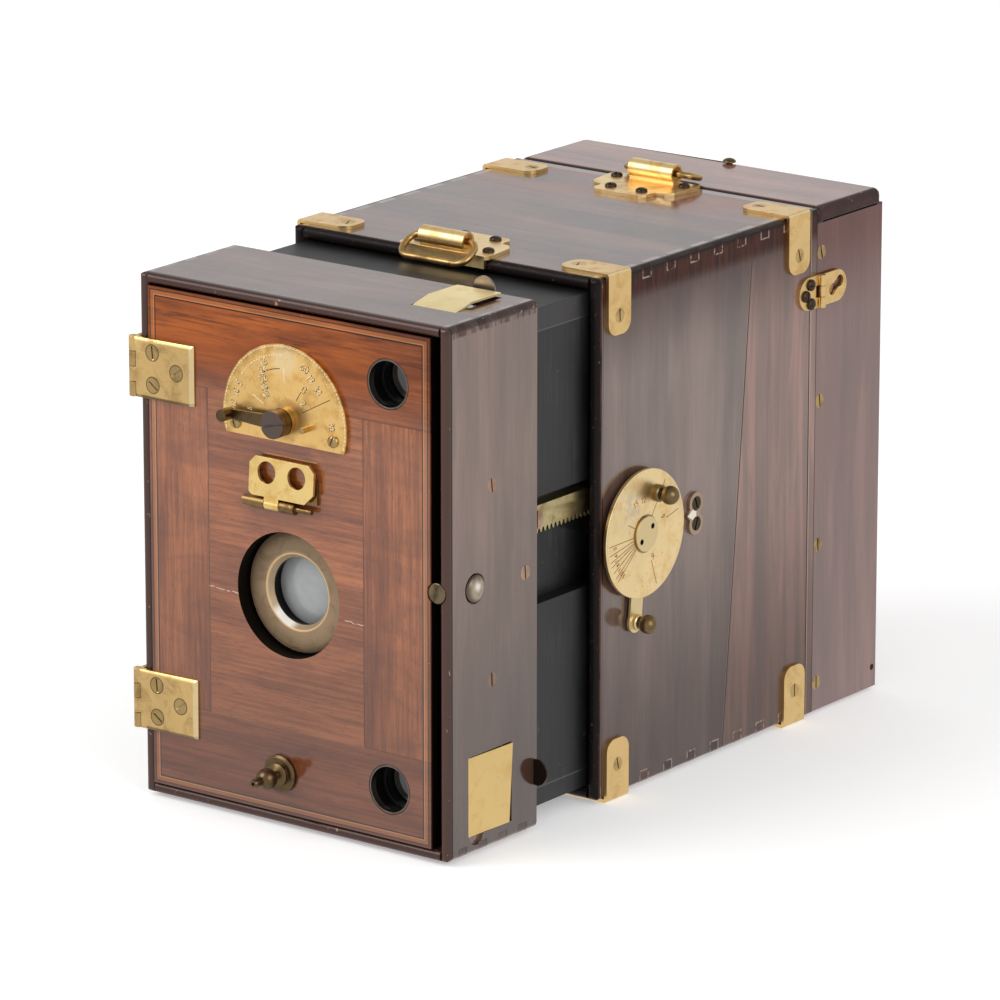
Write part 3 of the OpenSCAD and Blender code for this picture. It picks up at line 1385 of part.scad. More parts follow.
case_left();
case_right();
case_top();
case_bottom();
plate_frame();
corner_brackets();
case_screws();
strap_lugs();
dial_index();
pinion_bush();
hasp_plate();
tripod_plate();
back_hinge_fixed();
front_left();
front_right();
front_top();
front_bottom();
focus_tube();
focus_rack();
finder_boxes();
finder_glass();
finder_tabs();
carriage_screws();
door_hinge_fixed();
finder_mirrors();
door_frame();
door_panel();
door_hinge_leaves();
door_screws();
speed_dial();
finder_rims();
air_nipple();
lens_mount();
lens_glasses();
leaf_hinge_base();
door_stud();
shutter_board();
air_cylinder();
speed_lever();
two_hole_leaf();
top_finder_cover();
side_finder_cover();
release_button();
focus_dial();
dial_fittings();
focus_pinion();
clamp_lever();
front_ring();
rear_ring();
hasp_leaf();
shutter_disc();
air_piston();
back_sides();
back_top();
back_bottom();
back_screws();
back_hinge_leaves();
plate_holders();
rear_door();
rear_catch_pin();
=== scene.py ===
"""Looks of the wooden detective camera: french-polished and blackened wood, old brass, nickel and glass."""

import json
import math

import bmesh
import bpy
from mathutils import Matrix, Vector

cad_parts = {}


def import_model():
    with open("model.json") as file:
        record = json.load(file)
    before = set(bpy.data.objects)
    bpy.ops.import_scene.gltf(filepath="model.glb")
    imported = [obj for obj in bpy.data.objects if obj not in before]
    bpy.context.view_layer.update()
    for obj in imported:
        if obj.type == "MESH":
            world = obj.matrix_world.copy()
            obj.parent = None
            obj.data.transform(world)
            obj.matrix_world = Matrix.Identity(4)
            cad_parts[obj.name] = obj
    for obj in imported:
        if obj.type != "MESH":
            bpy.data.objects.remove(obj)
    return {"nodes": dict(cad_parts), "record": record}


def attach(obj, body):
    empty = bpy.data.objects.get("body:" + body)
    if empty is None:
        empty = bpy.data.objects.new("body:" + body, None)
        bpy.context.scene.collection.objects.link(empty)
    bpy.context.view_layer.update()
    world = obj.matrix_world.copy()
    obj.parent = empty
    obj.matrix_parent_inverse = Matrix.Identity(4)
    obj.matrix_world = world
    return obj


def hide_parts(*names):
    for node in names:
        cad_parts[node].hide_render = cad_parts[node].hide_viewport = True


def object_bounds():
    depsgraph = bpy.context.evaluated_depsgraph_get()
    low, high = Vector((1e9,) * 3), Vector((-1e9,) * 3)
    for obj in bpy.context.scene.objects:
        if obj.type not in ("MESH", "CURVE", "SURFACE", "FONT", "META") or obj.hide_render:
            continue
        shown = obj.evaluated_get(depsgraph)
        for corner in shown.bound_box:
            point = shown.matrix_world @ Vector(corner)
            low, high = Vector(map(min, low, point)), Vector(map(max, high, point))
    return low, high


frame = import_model()
cad_low, cad_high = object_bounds()

MM = 0.001
BODIES = frame["record"]["behaviour"]["bodies"]
BODY_OF = {node: body for body, nodes in BODIES.items() for node in nodes}

# Places on the main case, in mm as all places here

CASE_HALF_WIDTH = 71.5
CASE_LEVELS = (1.4, 201.7)
CASE_FRONT = -69
CASE_SEAMS = (66.9, 71.5)
FIRST_FINGER = -53.9
FINGER_PITCH = 15.1

# Places on the front box, its tube and the rear box

FRONT_HALF_WIDTH = 71.3
FRONT_LEVELS = (1.4, 201.4)
FRONT_MOUTH = -159.3
TUBE_SEAMS = (13.8, 187.6)
REAR_HALF_WIDTH = 71.3
REAR_ENDS = (71.9, 115.7)
REAR_TOP = 202.05
LID_GAP = 196.1

# Places on the door, with points as x and z

DOOR_MIDDLE = (-1.6, 101.4)
DOOR_HALF_SIZE = (65.3, 95.6)
PANEL_SIDES = (-39, 33.2)
PANEL_ENDS = (38.7, 162.4)
FINDER_HOLES = ((44.7, 24.8), (44.7, 177.2))
LENS_AXIS = (-1.8, 90)
SPEED_AXIS = (-1.8, 156.3)
SPEED_FACE = -161

# Places on the side, with points as y and z

FOCUS_AXIS = (-44.4, 100.6)
FOCUS_FACE = 75.5
BUTTON_AXIS = (-143.1, 101.9)

# The door's hinges, whose screws are placed from the pin and the leaf's middle

HINGE_PIN = -73.2
HINGE_MIDDLES = (38.2, 165.9)
HINGE_HALF_HEIGHT = 11.45
HINGE_REACH = 28.6
HINGE_FACE = -161.6
HINGE_SCREWS = ((9.8, 6.4), (21.1, 0.3), (9.9, -5.9))


def round_point(radius, degrees):
    """A point on a circle round the origin."""
    return radius * math.cos(math.radians(degrees)), radius * math.sin(math.radians(degrees))


# Shader maths, on object coordinates in millimetres

class Signal:
    """A socket of a finish, whose operators add the nodes that combine it with others."""

    def __init__(self, finish, socket):
        self.finish = finish
        self.socket = socket

    def calc(self, operation, *terms):
        return self.finish.node("ShaderNodeMath", {"operation": operation}, dict(enumerate(terms)))

    def __add__(self, other):
        return self.calc("ADD", self, other)

    def __sub__(self, other):
        return self.calc("SUBTRACT", self, other)

    def __rsub__(self, other):
        return self.calc("SUBTRACT", other, self)

    def __mul__(self, other):
        return self.calc("MULTIPLY", self, other)

    def __truediv__(self, other):
        return self.calc("DIVIDE", self, other)

    def __rtruediv__(self, other):
        return self.calc("DIVIDE", other, self)

    __radd__ = __add__
    __rmul__ = __mul__

    def size(self):
        return self.calc("ABSOLUTE", self)

    def root(self):
        return self.calc("SQRT", self)

    def part(self):
        """What is left above the whole number below it."""
        return self.calc("FRACT", self)

    def most(self, other):
        return self.calc("MAXIMUM", self, other)

    def least(self, other):
        return self.calc("MINIMUM", self, other)

    def rise(self, low, high):
        """0 below low and 1 above high, smooth between."""
        return self.finish.node("ShaderNodeMapRange", {"interpolation_type": "SMOOTHSTEP"},
                                {"Value": self, "From Min": low, "From Max": high})

    def fall(self, low, high):
        return 1 - self.rise(low, high)

    def near(self, value, reach, soft):
        """1 within reach of a value, fading to 0 over soft."""
        return (self - value).size().fall(reach, reach + soft)

    def between(self, low, high, soft):
        return self.rise(low - soft, low + soft) * self.fall(high - soft, high + soft)


class Finish:
    """A procedural material, whose x, y and z are the places on its piece in mm."""

    def __init__(self, name):
        self.material = bpy.data.materials.new(name)
        self.material.use_nodes = True
        self.tree = self.material.node_tree
        self.tree.nodes.clear()
        metres = self.node("ShaderNodeTexCoord", {}, {}, "Object")
        self.place = self.node("ShaderNodeVectorMath", {"operation": "SCALE"},
                               {"Vector": metres, "Scale": 1 / MM})
        self.x, self.y, self.z = (
            self.node("ShaderNodeSeparateXYZ", {}, {"Vector": self.place}, axis) for axis in range(3))

    def node(self, kind, settings, inputs, output=0):
        made = self.tree.nodes.new(kind)
        for key, value in settings.items():
            setattr(made, key, value)
        for key, value in inputs.items():
            if isinstance(value, Signal):
                self.tree.links.new(value.socket, made.inputs[key])
            else:
                made.inputs[key].default_value = value
        return Signal(self, made.outputs[output])

    def noise(self, size, detail=2, roughness=0.5, bend=0, stretch=(1, 1, 1), turn=(0, 0, 0), shift=0):
        """Noise whose spots are about that size in mm, and longer along an axis by its stretch."""
        placed = self.node("ShaderNodeMapping", {}, {
            "Vector": self.place, "Rotation": [math.radians(angle) for angle in turn],
            "Scale": [1 / long for long in stretch], "Location": (shift, shift, shift)})
        return self.node("ShaderNodeTexNoise", {}, {
            "Vector": placed, "Scale": 1 / size, "Detail": detail,
            "Roughness": roughness, "Distortion": bend})

    def mix(self, factor, first, second, blend="MIX"):
        return self.node("ShaderNodeMix", {"data_type": "RGBA", "blend_type": blend},
                         {0: factor, 6: rgba(first), 7: rgba(second)}, 2)

    def tones(self, factor, *stops):
        """A colour that goes through the given (place, colour) stops."""
        ramp = self.tree.nodes.new("ShaderNodeValToRGB")
        elements = ramp.color_ramp.elements
        while len(elements) < len(stops):
            elements.new(0.5)
        for element, (place, color) in zip(elements, stops):
            element.position = place
            element.color = rgba(color)
        self.tree.links.new(factor.socket, ramp.inputs[0])
        return Signal(self, ramp.outputs[0])

    def bump(self, height, distance, strength):
        return self.node("ShaderNodeBump", {},
                         {"Height": height, "Strength": strength, "Distance": distance * MM})

    def surface(self, color, **inputs):
        """Ends the finish in a shader whose sockets are named in words joined by _."""
        sockets = {key.replace("_", " "): value for key, value in inputs.items()}
        shader = self.node("ShaderNodeBsdfPrincipled", {}, {"Base Color": rgba(color), **sockets})
        end = self.tree.nodes.new("ShaderNodeOutputMaterial")
        self.tree.links.new(shader.socket, end.inputs["Surface"])
        return self.material


def rgba(color):
    return color if isinstance(color, Signal) else (*color, 1)


def tone(red, green, blue):
    """A screen colour, 0 to 255, as the light it stands for."""
    def linear(value):
        value /= 255
        return value / 12.92 if value <= 0.04045 else ((value + 0.055) / 1.055) ** 2.4
    return linear(red), linear(green), linear(blue)


# Wood finishes

def stretched(along, long):
    """How far noise is stretched along each axis, for a grain along one of them."""
    return tuple(long if axis == along else 1 for axis in "xyz")


def grain(finish, along, shift):
    """The figure of a board whose grain runs along an axis: bands, fibres, dark streaks and short pores."""
    bands = finish.noise(17, 3, 0.55, 0.5, stretched(along, 7), shift=shift)
    fibres = finish.noise(1.3, 3, 0.62, 0.2, stretched(along, 28), shift=shift)
    streaks = finish.noise(0.9, 2, 0.6, 0.5, stretched(along, 20), shift=shift + 5).rise(0.54, 0.7)
    pores = finish.noise(0.4, 1, 0.5, 0, stretched(along, 8), shift=shift).rise(0.6, 0.72)
    return bands, fibres, streaks, pores


def blended(factor, first, second):
    """Mixes two figures of grain, part by part."""
    return tuple(one + (other - one) * factor for one, other in zip(first, second))


def polished(finish, figure, dark, mid, light, fine=0.4, coat=1, dress=None):
    """Polished wood whose figure shows as much as fine. dress changes its colour and coat in places."""
    bands, fibres, streaks, pores = figure
    dark = tone(*dark)
    figured = bands * (1 - fine * 0.5) + fibres * (fine * 0.5)
    color = finish.tones(figured.rise(0.3, 0.72), (0.0, dark), (0.5, tone(*mid)), (1.0, tone(*light)))
    deep = tuple(part * 0.4 for part in dark)
    color = finish.mix(streaks * (fine * 0.3), color, tuple(part * 0.7 for part in dark))
    color = finish.mix(pores * (fine * 0.4), color, deep)
    if dress:
        color, coat = dress(finish, color, coat)
    scratches = finish.noise(0.5, 1, 0.5, 0, (1, 30, 60), (3, 4, 3), 31).rise(0.7, 0.78)
    smears = finish.noise(26, 3, 0.6, 0.4, shift=7)
    roughness = (smears * 0.2 + 0.24) + scratches * 0.12
    height = fibres * 0.5 - pores - scratches * 0.4
    return finish.surface(color, Roughness=roughness, Normal=finish.bump(height, 0.05, 0.5),
                          Specular_IOR_Level=0.1, Coat_Weight=coat, Coat_IOR=2.0, Coat_Roughness=0.1)


def polished_wood(name, along, dark, mid, light, shift, **looks):
    """Polished wood whose grain runs along an axis, in a place of its own in the noise."""
    finish = Finish(name)
    return polished(finish, grain(finish, along, shift), dark, mid, light, **looks)


def lines_at(signal, places, reach, soft):
    """1 on thin lines across a signal."""
    found = signal.near(places[0], reach, soft)
    for place in places[1:]:
        found = found.most(signal.near(place, reach, soft))
    return found


def from_axis(first, second, at):
    """Distance from an axis through a point, in the plane of two coordinates."""
    across, along = first - at[0], second - at[1]
    return (across * across + along * along).root()


def painted(finish, color, layers):
    """Lays screen colours over a colour, each through its mask and as strong as its number."""
    for mask, strength, layer in layers:
        color = finish.mix(mask * strength, color, tone(*layer))
    return color


def dress_door(finish, color, coat):
    """Darkens the joints, scribed lines and rim of the door and warms its rails; adds painted shade in its
    gap, in its bored holes and towards its foot, and a painted highlight beside its scribed lines.
    """
    x, y, z = finish.x, finish.y, finish.z
    rail = 1 - z.between(*PANEL_ENDS, 0.2)
    color = finish.mix(rail * 0.3, color, tone(140, 70, 26), "MULTIPLY")
    golden = z.rise(160, 184) * x.fall(5, 70)
    patches = z.rise(160, 176) * finish.noise(5, 4, 0.65, 0.4, (9, 1, 1)).rise(0.45, 0.62)
    shades = finish.noise(16, 3, 0.6, 0.8, (2.5, 1, 1), shift=21).rise(0.46, 0.7)
    streaks = z.rise(176, 190) * finish.noise(1.7, 4, 0.65, 0.3, (18, 1, 1)).rise(0.5, 0.64)
    upright = lines_at(x, PANEL_SIDES, 0.1, 0.25) * z.between(*PANEL_ENDS, 0.2)
    level = lines_at(z, PANEL_ENDS, 0.08, 0.22) * (1 - x.between(*PANEL_SIDES, 0.2))
    beside = (x - DOOR_MIDDLE[0]).size() - DOOR_HALF_SIZE[0]
    above = (z - DOOR_MIDDLE[1]).size() - DOOR_HALF_SIZE[1]
    edge = beside.most(above)
    chips = edge.between(-1.5, -0.3, 0.3) * finish.noise(1.2, 2, 0.6, 0.3).rise(0.71, 0.74)
    wander = (x + 2) * 0.03 + finish.noise(4, 2, 0.6, shift=3) * 1.6 - 0.8
    cracks = (z - 86 + wander).near(0, 0.1, 0.18) * finish.noise(1.5, 2, 0.6).rise(0.36, 0.5)
    cracks = cracks * (x.between(PANEL_SIDES[0], -24, 0.8) + x.between(24.5, PANEL_SIDES[1], 0.8))
    bored = from_axis(x, z, LENS_AXIS).fall(23.82, 23.95) * y.rise(-159.58, -159.5)
    for hole in FINDER_HOLES:
        bored = bored.most(from_axis(x, z, hole).fall(9.3, 9.6))
    # Painted shade: the door's side faces and the walls of its bored holes are made near black and dull.
    shade_in_gap_and_holes = bored.most(y.rise(-159.2, -158.6))
    coat = coat * (1 - z.rise(150, 180) * 0.75) * (1 - z.fall(20, 120) * 0.12) * (1 - shade_in_gap_and_holes)
    return painted(finish, color, [
        # Painted shade, darker towards the door's foot.
        (z.fall(20, 120), 0.42, (62, 36, 26)),
        (golden, 0.6, (176, 88, 18)),
        (patches, 0.45, (104, 48, 14)),
        (shades, 0.4, (84, 42, 22)),
        (streaks, 0.7, (66, 28, 10)),
        (upright.most(level), 0.55, (44, 22, 14)),
        (edge.between(-2.9, -1.2, 0.3), 0.28, (186, 118, 66)),
        (edge.near(-3.35, 0.14, 0.25), 0.95, (26, 12, 8)),
        # A painted highlight on the edge of the scribed line.
        (edge.near(-2.9, 0.08, 0.2), 0.36, (214, 160, 108)),
        (edge.near(-1.1, 0.12, 0.25), 0.85, (26, 12, 8)),
        (edge.rise(-1, -0.4), 0.5, (70, 34, 20)),
        (chips, 0.7, (196, 150, 110)),
        (cracks, 1, (190, 158, 138)),
        (shade_in_gap_and_holes, 1, (10, 7, 6)),
    ]), coat


def dress_front(finish, color, coat):
    """Darkens the inside, rim, foot and upper edges of the front box, and chips its corners."""
    x, y, z = finish.x, finish.y, finish.z
    depth = y - FRONT_MOUTH
    side = x.size().rise(FRONT_HALF_WIDTH - 0.5, FRONT_HALF_WIDTH - 0.1)
    low = z.fall(10, 170) * side
    inside = x.size().fall(66.3, 66.5) * z.between(6.8, 196.2, 0.2)
    edge = x.size().rise(68.6, 69.8) * z.rise(198, 199.6)
    ends = z.rise(196.6, 197.4) * side * finish.noise(1.4, 2, 0.6, 0.2, (1, 1, 8)).rise(0.4, 0.6)
    chips = edge * finish.noise(1.3, 3, 0.7, 0.4, (1, 2, 1)).rise(0.62, 0.66)
    rim = depth.fall(1.9, 2.3) * (1 - inside)
    line = depth.near(2.5, 0.3, 0.3)
    worn = depth.fall(1.7, 2) * finish.noise(1.1, 3, 0.7, 0.4, (3, 1, 3)).rise(0.67, 0.71)
    dull = (low * 0.16).most(ends * 0.6).most(edge * 0.75).most(rim * 0.7).most(line * 0.8).most(inside)
    return painted(finish, color, [
        (low, 0.6, (40, 24, 18)),
        (inside, 1, (9, 7, 7)),
        (edge, 0.8, (26, 13, 10)),
        (ends, 0.7, (60, 32, 22)),
        (chips, 0.6, (176, 156, 140)),
        (rim, 0.9, (60, 33, 25)),
        (line, 0.9, (16, 9, 8)),
        (worn, 0.7, (190, 140, 108)),
    ]), coat * (1 - dull)


def dress_planks(finish, color, side):
    """The two planks of the main case's side, which meet in a slanted joint, with dark upper ends.

    Gives their colour, and how dull they are in places.
    """
    y, z = finish.y, finish.z
    joint = y - (z * 0.0885 + 11.6)
    slanted = finish.noise(7, 3, 0.6, 0.6, (1, 1, 14), (14, 0, 0)).rise(0.3, 0.72)
    red = finish.tones(slanted, (0.0, tone(94, 62, 50)), (0.55, tone(122, 83, 68)), (1.0, tone(150, 104, 87)))
    color = finish.mix(joint.rise(-0.3, 0.3) * side * 0.75, color, red)
    crack = joint.near(0, 0.16, 0.3) * side
    upper = z.rise(156, 196) * side
    color = painted(finish, color, [
        (crack, 0.95, (20, 9, 6)),
        ((joint + 0.45).near(0, 0.08, 0.15) * side, 0.3, (190, 160, 140)),
        (z.fall(5, 120) * side, 0.5, (34, 22, 18)),
        (upper, 0.75, (48, 22, 15)),
    ])
    edge = z.rise(184, 194) * side
    fibres = finish.noise(1.2, 2, 0.6, 0.2, (1, 1, 12)).rise(0.3, 0.7)
    color = finish.mix(edge * 0.9, color, finish.mix(fibres, tone(30, 9, 4), tone(72, 30, 14)))
    low = z.fall(10, 120) * side
    return color, (upper * 0.56).most(edge * 0.94).most(low * 0.55).most(crack * 0.8)


def dress_case(finish, color, coat):
    """Planks, black worn rim and finger joints outlined by wear on the main case."""
    x, y, z = finish.x, finish.y, finish.z
    depth = y - CASE_FRONT
    side = x.size().rise(CASE_HALF_WIDTH - 0.3, CASE_HALF_WIDTH - 0.1)
    color, dull = dress_planks(finish, color, side)
    across = (((y - FIRST_FINGER) / FINGER_PITCH + 0.5).part() - 0.5).size() * FINGER_PITCH
    board = side * y.fall(66.5, 66.7)
    finger = z.between(196.7, 200.6, 0.3).most(z.between(2.4, 6.5, 0.3)) * board
    outline = across.near(2.55, 0.14, 0.3) * finger
    ends = lines_at(z, (196.9, 6.3), 0.14, 0.3) * across.fall(2.5, 2.8) * board
    rubbed = finish.noise(1.6, 2, 0.6, shift=9).rise(0.36, 0.56)
    gap = across.rise(2.9, 3.3) * z.rise(196.7, 201) * side
    corner = x.size().rise(68.6, 69.8) * z.rise(198.9, 200.2)
    seam = lines_at(y, CASE_SEAMS, 0.14, 0.25) * side
    rim = depth.fall(2.1, 2.7)
    worn = depth.between(1.6, 2.8, 0.3) * finish.noise(5, 3, 0.7, 0.4, (4, 1, 4)).rise(0.36, 0.6)
    chips = depth.fall(2.5, 3) * finish.noise(1.1, 3, 0.7, 0.3).rise(0.66, 0.7)
    inside = x.size().fall(66.2, 66.4) * z.between(7, 196, 0.2)
    dull = dull.most(corner * 0.85).most(inside).most(rim).most(seam)
    return painted(finish, color, [
        (outline.most(ends) * rubbed, 0.75, (168, 148, 134)),
        (gap, 0.5, (30, 12, 8)),
        (corner, 0.9, (24, 10, 6)),
        (seam, 0.85, (16, 8, 6)),
        (y.near(67.6, 0.12, 0.25) * side, 0.4, (196, 160, 136)),
        (rim, 0.94, (13, 12, 13)),
        (worn, 0.6, (96, 60, 46)),
        (depth.near(3.1, 0.14, 0.3), 0.85, (14, 9, 8)),
        (chips, 0.5, (150, 126, 110)),
        (inside, 1, (9, 8, 8)),
    ]), coat * (1 - dull)


def dress_case_top(finish, color, coat):
    """Streaks across the main case's top, and a red patch by the rear lug, painted as the lug's reflection in
    the polish.
    """
    color, coat = dress_case(finish, color, coat)
    top = finish.z.rise(201, 201.6)
    streaks = finish.noise(5, 3, 0.6, 0.4, (14, 1, 1), shift=3).rise(0.46, 0.7)
    # Painted reflection of the rear lug: a red patch beside it, with less coat.
    patch = finish.y.rise(20, 62) * top * finish.noise(20, 3, 0.6, 0.4, (2, 1, 1)).rise(0.36, 0.62)
    color = painted(finish, color, [(streaks * top, 0.4, (30, 22, 22)), (patch, 0.7, (150, 80, 54))])
    return color, coat * (1 - patch * 0.25)


def dress_rear(finish, color, coat):
    """Dark rounded edges of the rear box's top, painted shade in the gap under it, and a darker upper end of
    its sides.
    """
    x, y, z = finish.x, finish.y, finish.z
    upper = z.rise(150, 194) * z.fall(LID_GAP + 0.2, LID_GAP + 0.3)
    edge = (x.size() - REAR_HALF_WIDTH).most(y - REAR_ENDS[1]).most(REAR_ENDS[0] - y)
    lid = z.rise(LID_GAP + 0.3, LID_GAP + 0.5)
    worn = edge.rise(-3.2, -2) * lid * finish.noise(1.6, 3, 0.7, 0.4, (3, 1, 1)).rise(0.66, 0.7)
    color = painted(finish, color, [
        (upper, 0.6, (78, 22, 12)),
        # Painted shade in the gap under the top.
        (z.near(LID_GAP, 0.3, 0.3), 1, (10, 6, 6)),
        (edge.rise(-3.4, -1.8) * lid, 0.9, (34, 13, 9)),
        (worn, 0.6, (140, 118, 100)),
    ])
    return color, coat * (1 - upper * 0.55) * (1 - edge.rise(-3, -1.8) * lid * 0.85)


def door_wood():
    """Level grain on the door's panel and rails, upright grain on its stiles."""
    finish = Finish("door_wood")
    stile = finish.z.between(*PANEL_ENDS, 0.05) * (1 - finish.x.between(*PANEL_SIDES, 0.05))
    figure = blended(stile, grain(finish, "x", 43), grain(finish, "z", 41))
    return polished(finish, figure, (102, 50, 22), (138, 76, 38), (166, 98, 56), fine=1, coat=0.75,
                    dress=dress_door)


front_side = polished_wood("front_box_wood", "z", (82, 58, 46), (100, 74, 60), (120, 92, 78), shift=3,
                           dress=dress_front)
front_level = polished_wood("front_box_top_wood", "x", (64, 40, 33), (92, 62, 53), (120, 84, 72), shift=5,
                            coat=0.72, dress=dress_front)
case_side = polished_wood("case_side_wood", "z", (80, 60, 51), (98, 76, 66), (118, 94, 84), shift=11,
                          dress=dress_case)
case_level = polished_wood("case_top_wood", "x", (56, 34, 29), (84, 54, 46), (112, 72, 60), shift=17,
                           coat=0.74, dress=dress_case_top)
rear_side = polished_wood("rear_box_side_wood", "z", (88, 56, 48), (106, 70, 62), (126, 88, 78), shift=23,
                          dress=dress_rear)
rear_level = polished_wood("rear_box_top_wood", "x", (84, 44, 32), (124, 76, 60), (150, 100, 82), shift=29,
                           coat=0.85, dress=dress_rear)
holder_wood = polished_wood("holder_wood", "z", (48, 30, 22), (70, 46, 34), (96, 66, 48), shift=37)


def black_polish():
    """Blackened wood of the focusing tube: upright rubbing marks, seams, and painted shade at its end by the
    case and on its top.
    """
    finish = Finish("blackened_wood")
    x, y, z = finish.x, finish.y, finish.z
    marks = finish.noise(1.4, 3, 0.6, 0.2, (1, 1, 22))
    blooms = finish.noise(24, 3, 0.6, 0.4)
    color = finish.tones((marks * 0.5 + blooms * 0.5).rise(0.3, 0.75), (0.0, tone(15, 14, 15)),
                         (0.6, tone(27, 26, 29)), (1.0, tone(44, 44, 48)))
    side = x.size().rise(65.8, 66)
    upright = y.near(-101.5, 0.12, 0.3) * z.between(*TUBE_SEAMS, 0.2)
    seams = lines_at(z, TUBE_SEAMS, 0.12, 0.3).most(upright) * side
    pale = z.rise(TUBE_SEAMS[1], TUBE_SEAMS[1] + 0.8) * side
    # Painted shade at the tube's end by the case's rim and on its top.
    shaded = (z.rise(196, 196.2) * 0.5).most(y.rise(-76, -70) * 0.8)
    rubbed = finish.noise(2.2, 3, 0.7, 0.3).rise(0.66, 0.72)
    color = painted(finish, color, [
        (seams, 0.8, (78, 76, 80)),
        (pale, 0.3, (74, 70, 72)),
        (shaded, 1, (4, 4, 4)),
        (rubbed, 0.5, (84, 82, 84)),
    ])
    return finish.surface(color, Roughness=blooms * 0.3 + 0.34, Normal=finish.bump(marks, 0.06, 0.6),
                          Specular_IOR_Level=0.4, Coat_Weight=0.15, Coat_Roughness=0.35)


# Metal and glass finishes

def lacquered(name, bright, stained, roughness, stain=0.4, metal=1.0, dress=None):
    """Old lacquered metal with stains where the lacquer has gone. dress changes its colour in places."""
    finish = Finish(name)
    bright, stained = tone(*bright), tone(*stained)
    stains = finish.noise(7, 4, 0.6, 0.4)
    clouds = finish.noise(22, 2, 0.5, 0.3, shift=13)
    specks = finish.noise(0.8, 2, 0.6, 0.2)
    dirt = (stains * 0.8 + specks * 0.2).rise(0.46, 0.68)
    color = finish.mix(clouds.rise(0.3, 0.7) * stain * 0.6, bright, tuple(part * 0.72 for part in bright))
    color = finish.mix(dirt * stain, color, stained)
    color = finish.mix(specks.rise(0.7, 0.76) * stain, color, stained)
    if dress:
        color = dress(finish, color)
    return finish.surface(color, Metallic=metal, Roughness=dirt * 0.14 + roughness,
                          Normal=finish.bump(clouds, 0.05, 0.5))


def dress_speed_dial(finish, color):
    """Pale patch near the top, dirty rim and a halo round the lever's hub on the speed dial."""
    away = from_axis(finish.x, finish.z, SPEED_AXIS)
    patch = from_axis(finish.x, finish.z, (-1.8, 179)).fall(3, 8)
    dirty = away.rise(24, 28.4) * finish.noise(4, 3, 0.6, 0.4).rise(0.4, 0.6)
    return painted(finish, color, [
        (patch, 0.5, (250, 232, 190)),
        (dirty, 0.5, (150, 104, 56)),
        (away.fall(5, 9), 0.35, (120, 88, 52)),
    ])


def dress_focus_dial(finish, color):
    """Blue-grey and yellow blotches and brown spots on the focusing dial, and a dark ring round its nut."""
    blotches = finish.noise(4, 3, 0.6, 0.4)
    grey = from_axis(finish.y, finish.z, (-54, 112)).fall(2, 12) * blotches.rise(0.42, 0.6)
    yellow = from_axis(finish.y, finish.z, (-34, 112)).fall(1, 8) * blotches.rise(0.4, 0.6)
    spots = finish.noise(1.6, 2, 0.6, 0.3, shift=4).rise(0.66, 0.72)
    ring = from_axis(finish.y, finish.z, FOCUS_AXIS).near(6.9, 0.2, 0.5)
    return painted(finish, color, [
        (grey, 0.6, (196, 190, 176)),
        (yellow, 0.6, (232, 190, 96)),
        (spots, 0.5, (176, 118, 78)),
        (ring, 0.7, (84, 60, 38)),
    ])


def dress_nut(finish, color):
    """Pale brass on the nut in the dial's middle, with painted shade in its two pin holes, and on the clamp
    lever's arm.
    """
    nut = from_axis(finish.y, finish.z, FOCUS_AXIS).fall(6.9, 7.1)
    arm = finish.x.fall(75.4, 75.8) * finish.z.fall(90, 91)
    upper, lower = (from_axis(finish.y, finish.z, hole) for hole in ((-41, 103), (-47.8, 98.2)))
    # Painted shade in the nut's two pin holes.
    holes = upper.least(lower).fall(0.9, 1.3) * finish.x.rise(74, 75)
    return painted(finish, color, [(nut.most(arm), 1, (226, 202, 152)), (holes, 1, (44, 34, 24))])


def dress_lens(finish, color):
    """Black wall of the lens well, a painted highlight round its mouth, a lighter cone with a painted bright
    crescent, and shade at the top.
    """
    away = from_axis(finish.x, finish.z, LENS_AXIS)
    cone = away.between(12.8, 14.3, 0.1)
    crescent = from_axis(finish.x, finish.z, (-9, 78.5)).fall(3, 7)
    return painted(finish, color, [
        # Painted highlight on the edge of the lens mouth.
        (away.near(14.5, 0.25, 0.3), 0.8, (222, 186, 136)),
        (cone, 0.5, (206, 184, 150)),
        # Painted highlight: a bright crescent on the lower part of the cone.
        (cone * crescent, 1, (255, 250, 240)),
        (away.rise(15, 16) * finish.z.rise(84, 112), 0.45, (84, 68, 50)),
        (away.fall(14.1, 14.2) * finish.y.rise(-151.9, -151.75), 1, (7, 6, 6)),
    ])


def dress_index(finish, color):
    """Bright pointer of the index plate."""
    y, up = finish.y, (finish.z - 99.8).size()
    pointer = ((y + 14.2) * 0.62 - up).rise(0, 0.2) * y.fall(-8.6, -8.4)
    return finish.mix(pointer, color, tone(250, 240, 224))


def dress_door_screws(finish, color):
    """Dark pivot of the speed lever."""
    pivot = from_axis(finish.x, finish.z, SPEED_AXIS).fall(7.5, 8) * finish.y.fall(-163, -162.6)
    return finish.mix(pivot, color, tone(104, 90, 84))


def dress_covers(finish, color):
    """Painted light on the finder covers: the top one, facing up, paler, and the side one duller."""
    duller = finish.mix(0.6, color, tone(222, 188, 128))
    paler = finish.mix(0.6, color, tone(255, 240, 186))
    return finish.mix(finish.z.rise(100, 110), duller, paler)


def dress_box_screws(finish, color):
    """Screws of the front box that fade into its wood towards the foot."""
    return finish.mix(finish.z.fall(50, 90) * 0.8, color, tone(112, 94, 86))


def dress_button(finish, color):
    """Painted highlight near the top of the release button's dome, and painted shade round its rim."""
    rim = from_axis(finish.y, finish.z, BUTTON_AXIS).rise(2.8, 5)
    painted_glint = from_axis(finish.y, finish.z, (-143.7, 103)).fall(0.3, 2.4)
    return painted(finish, color, [(rim, 0.75, (66, 54, 46)), (painted_glint, 0.85, (255, 250, 240))])


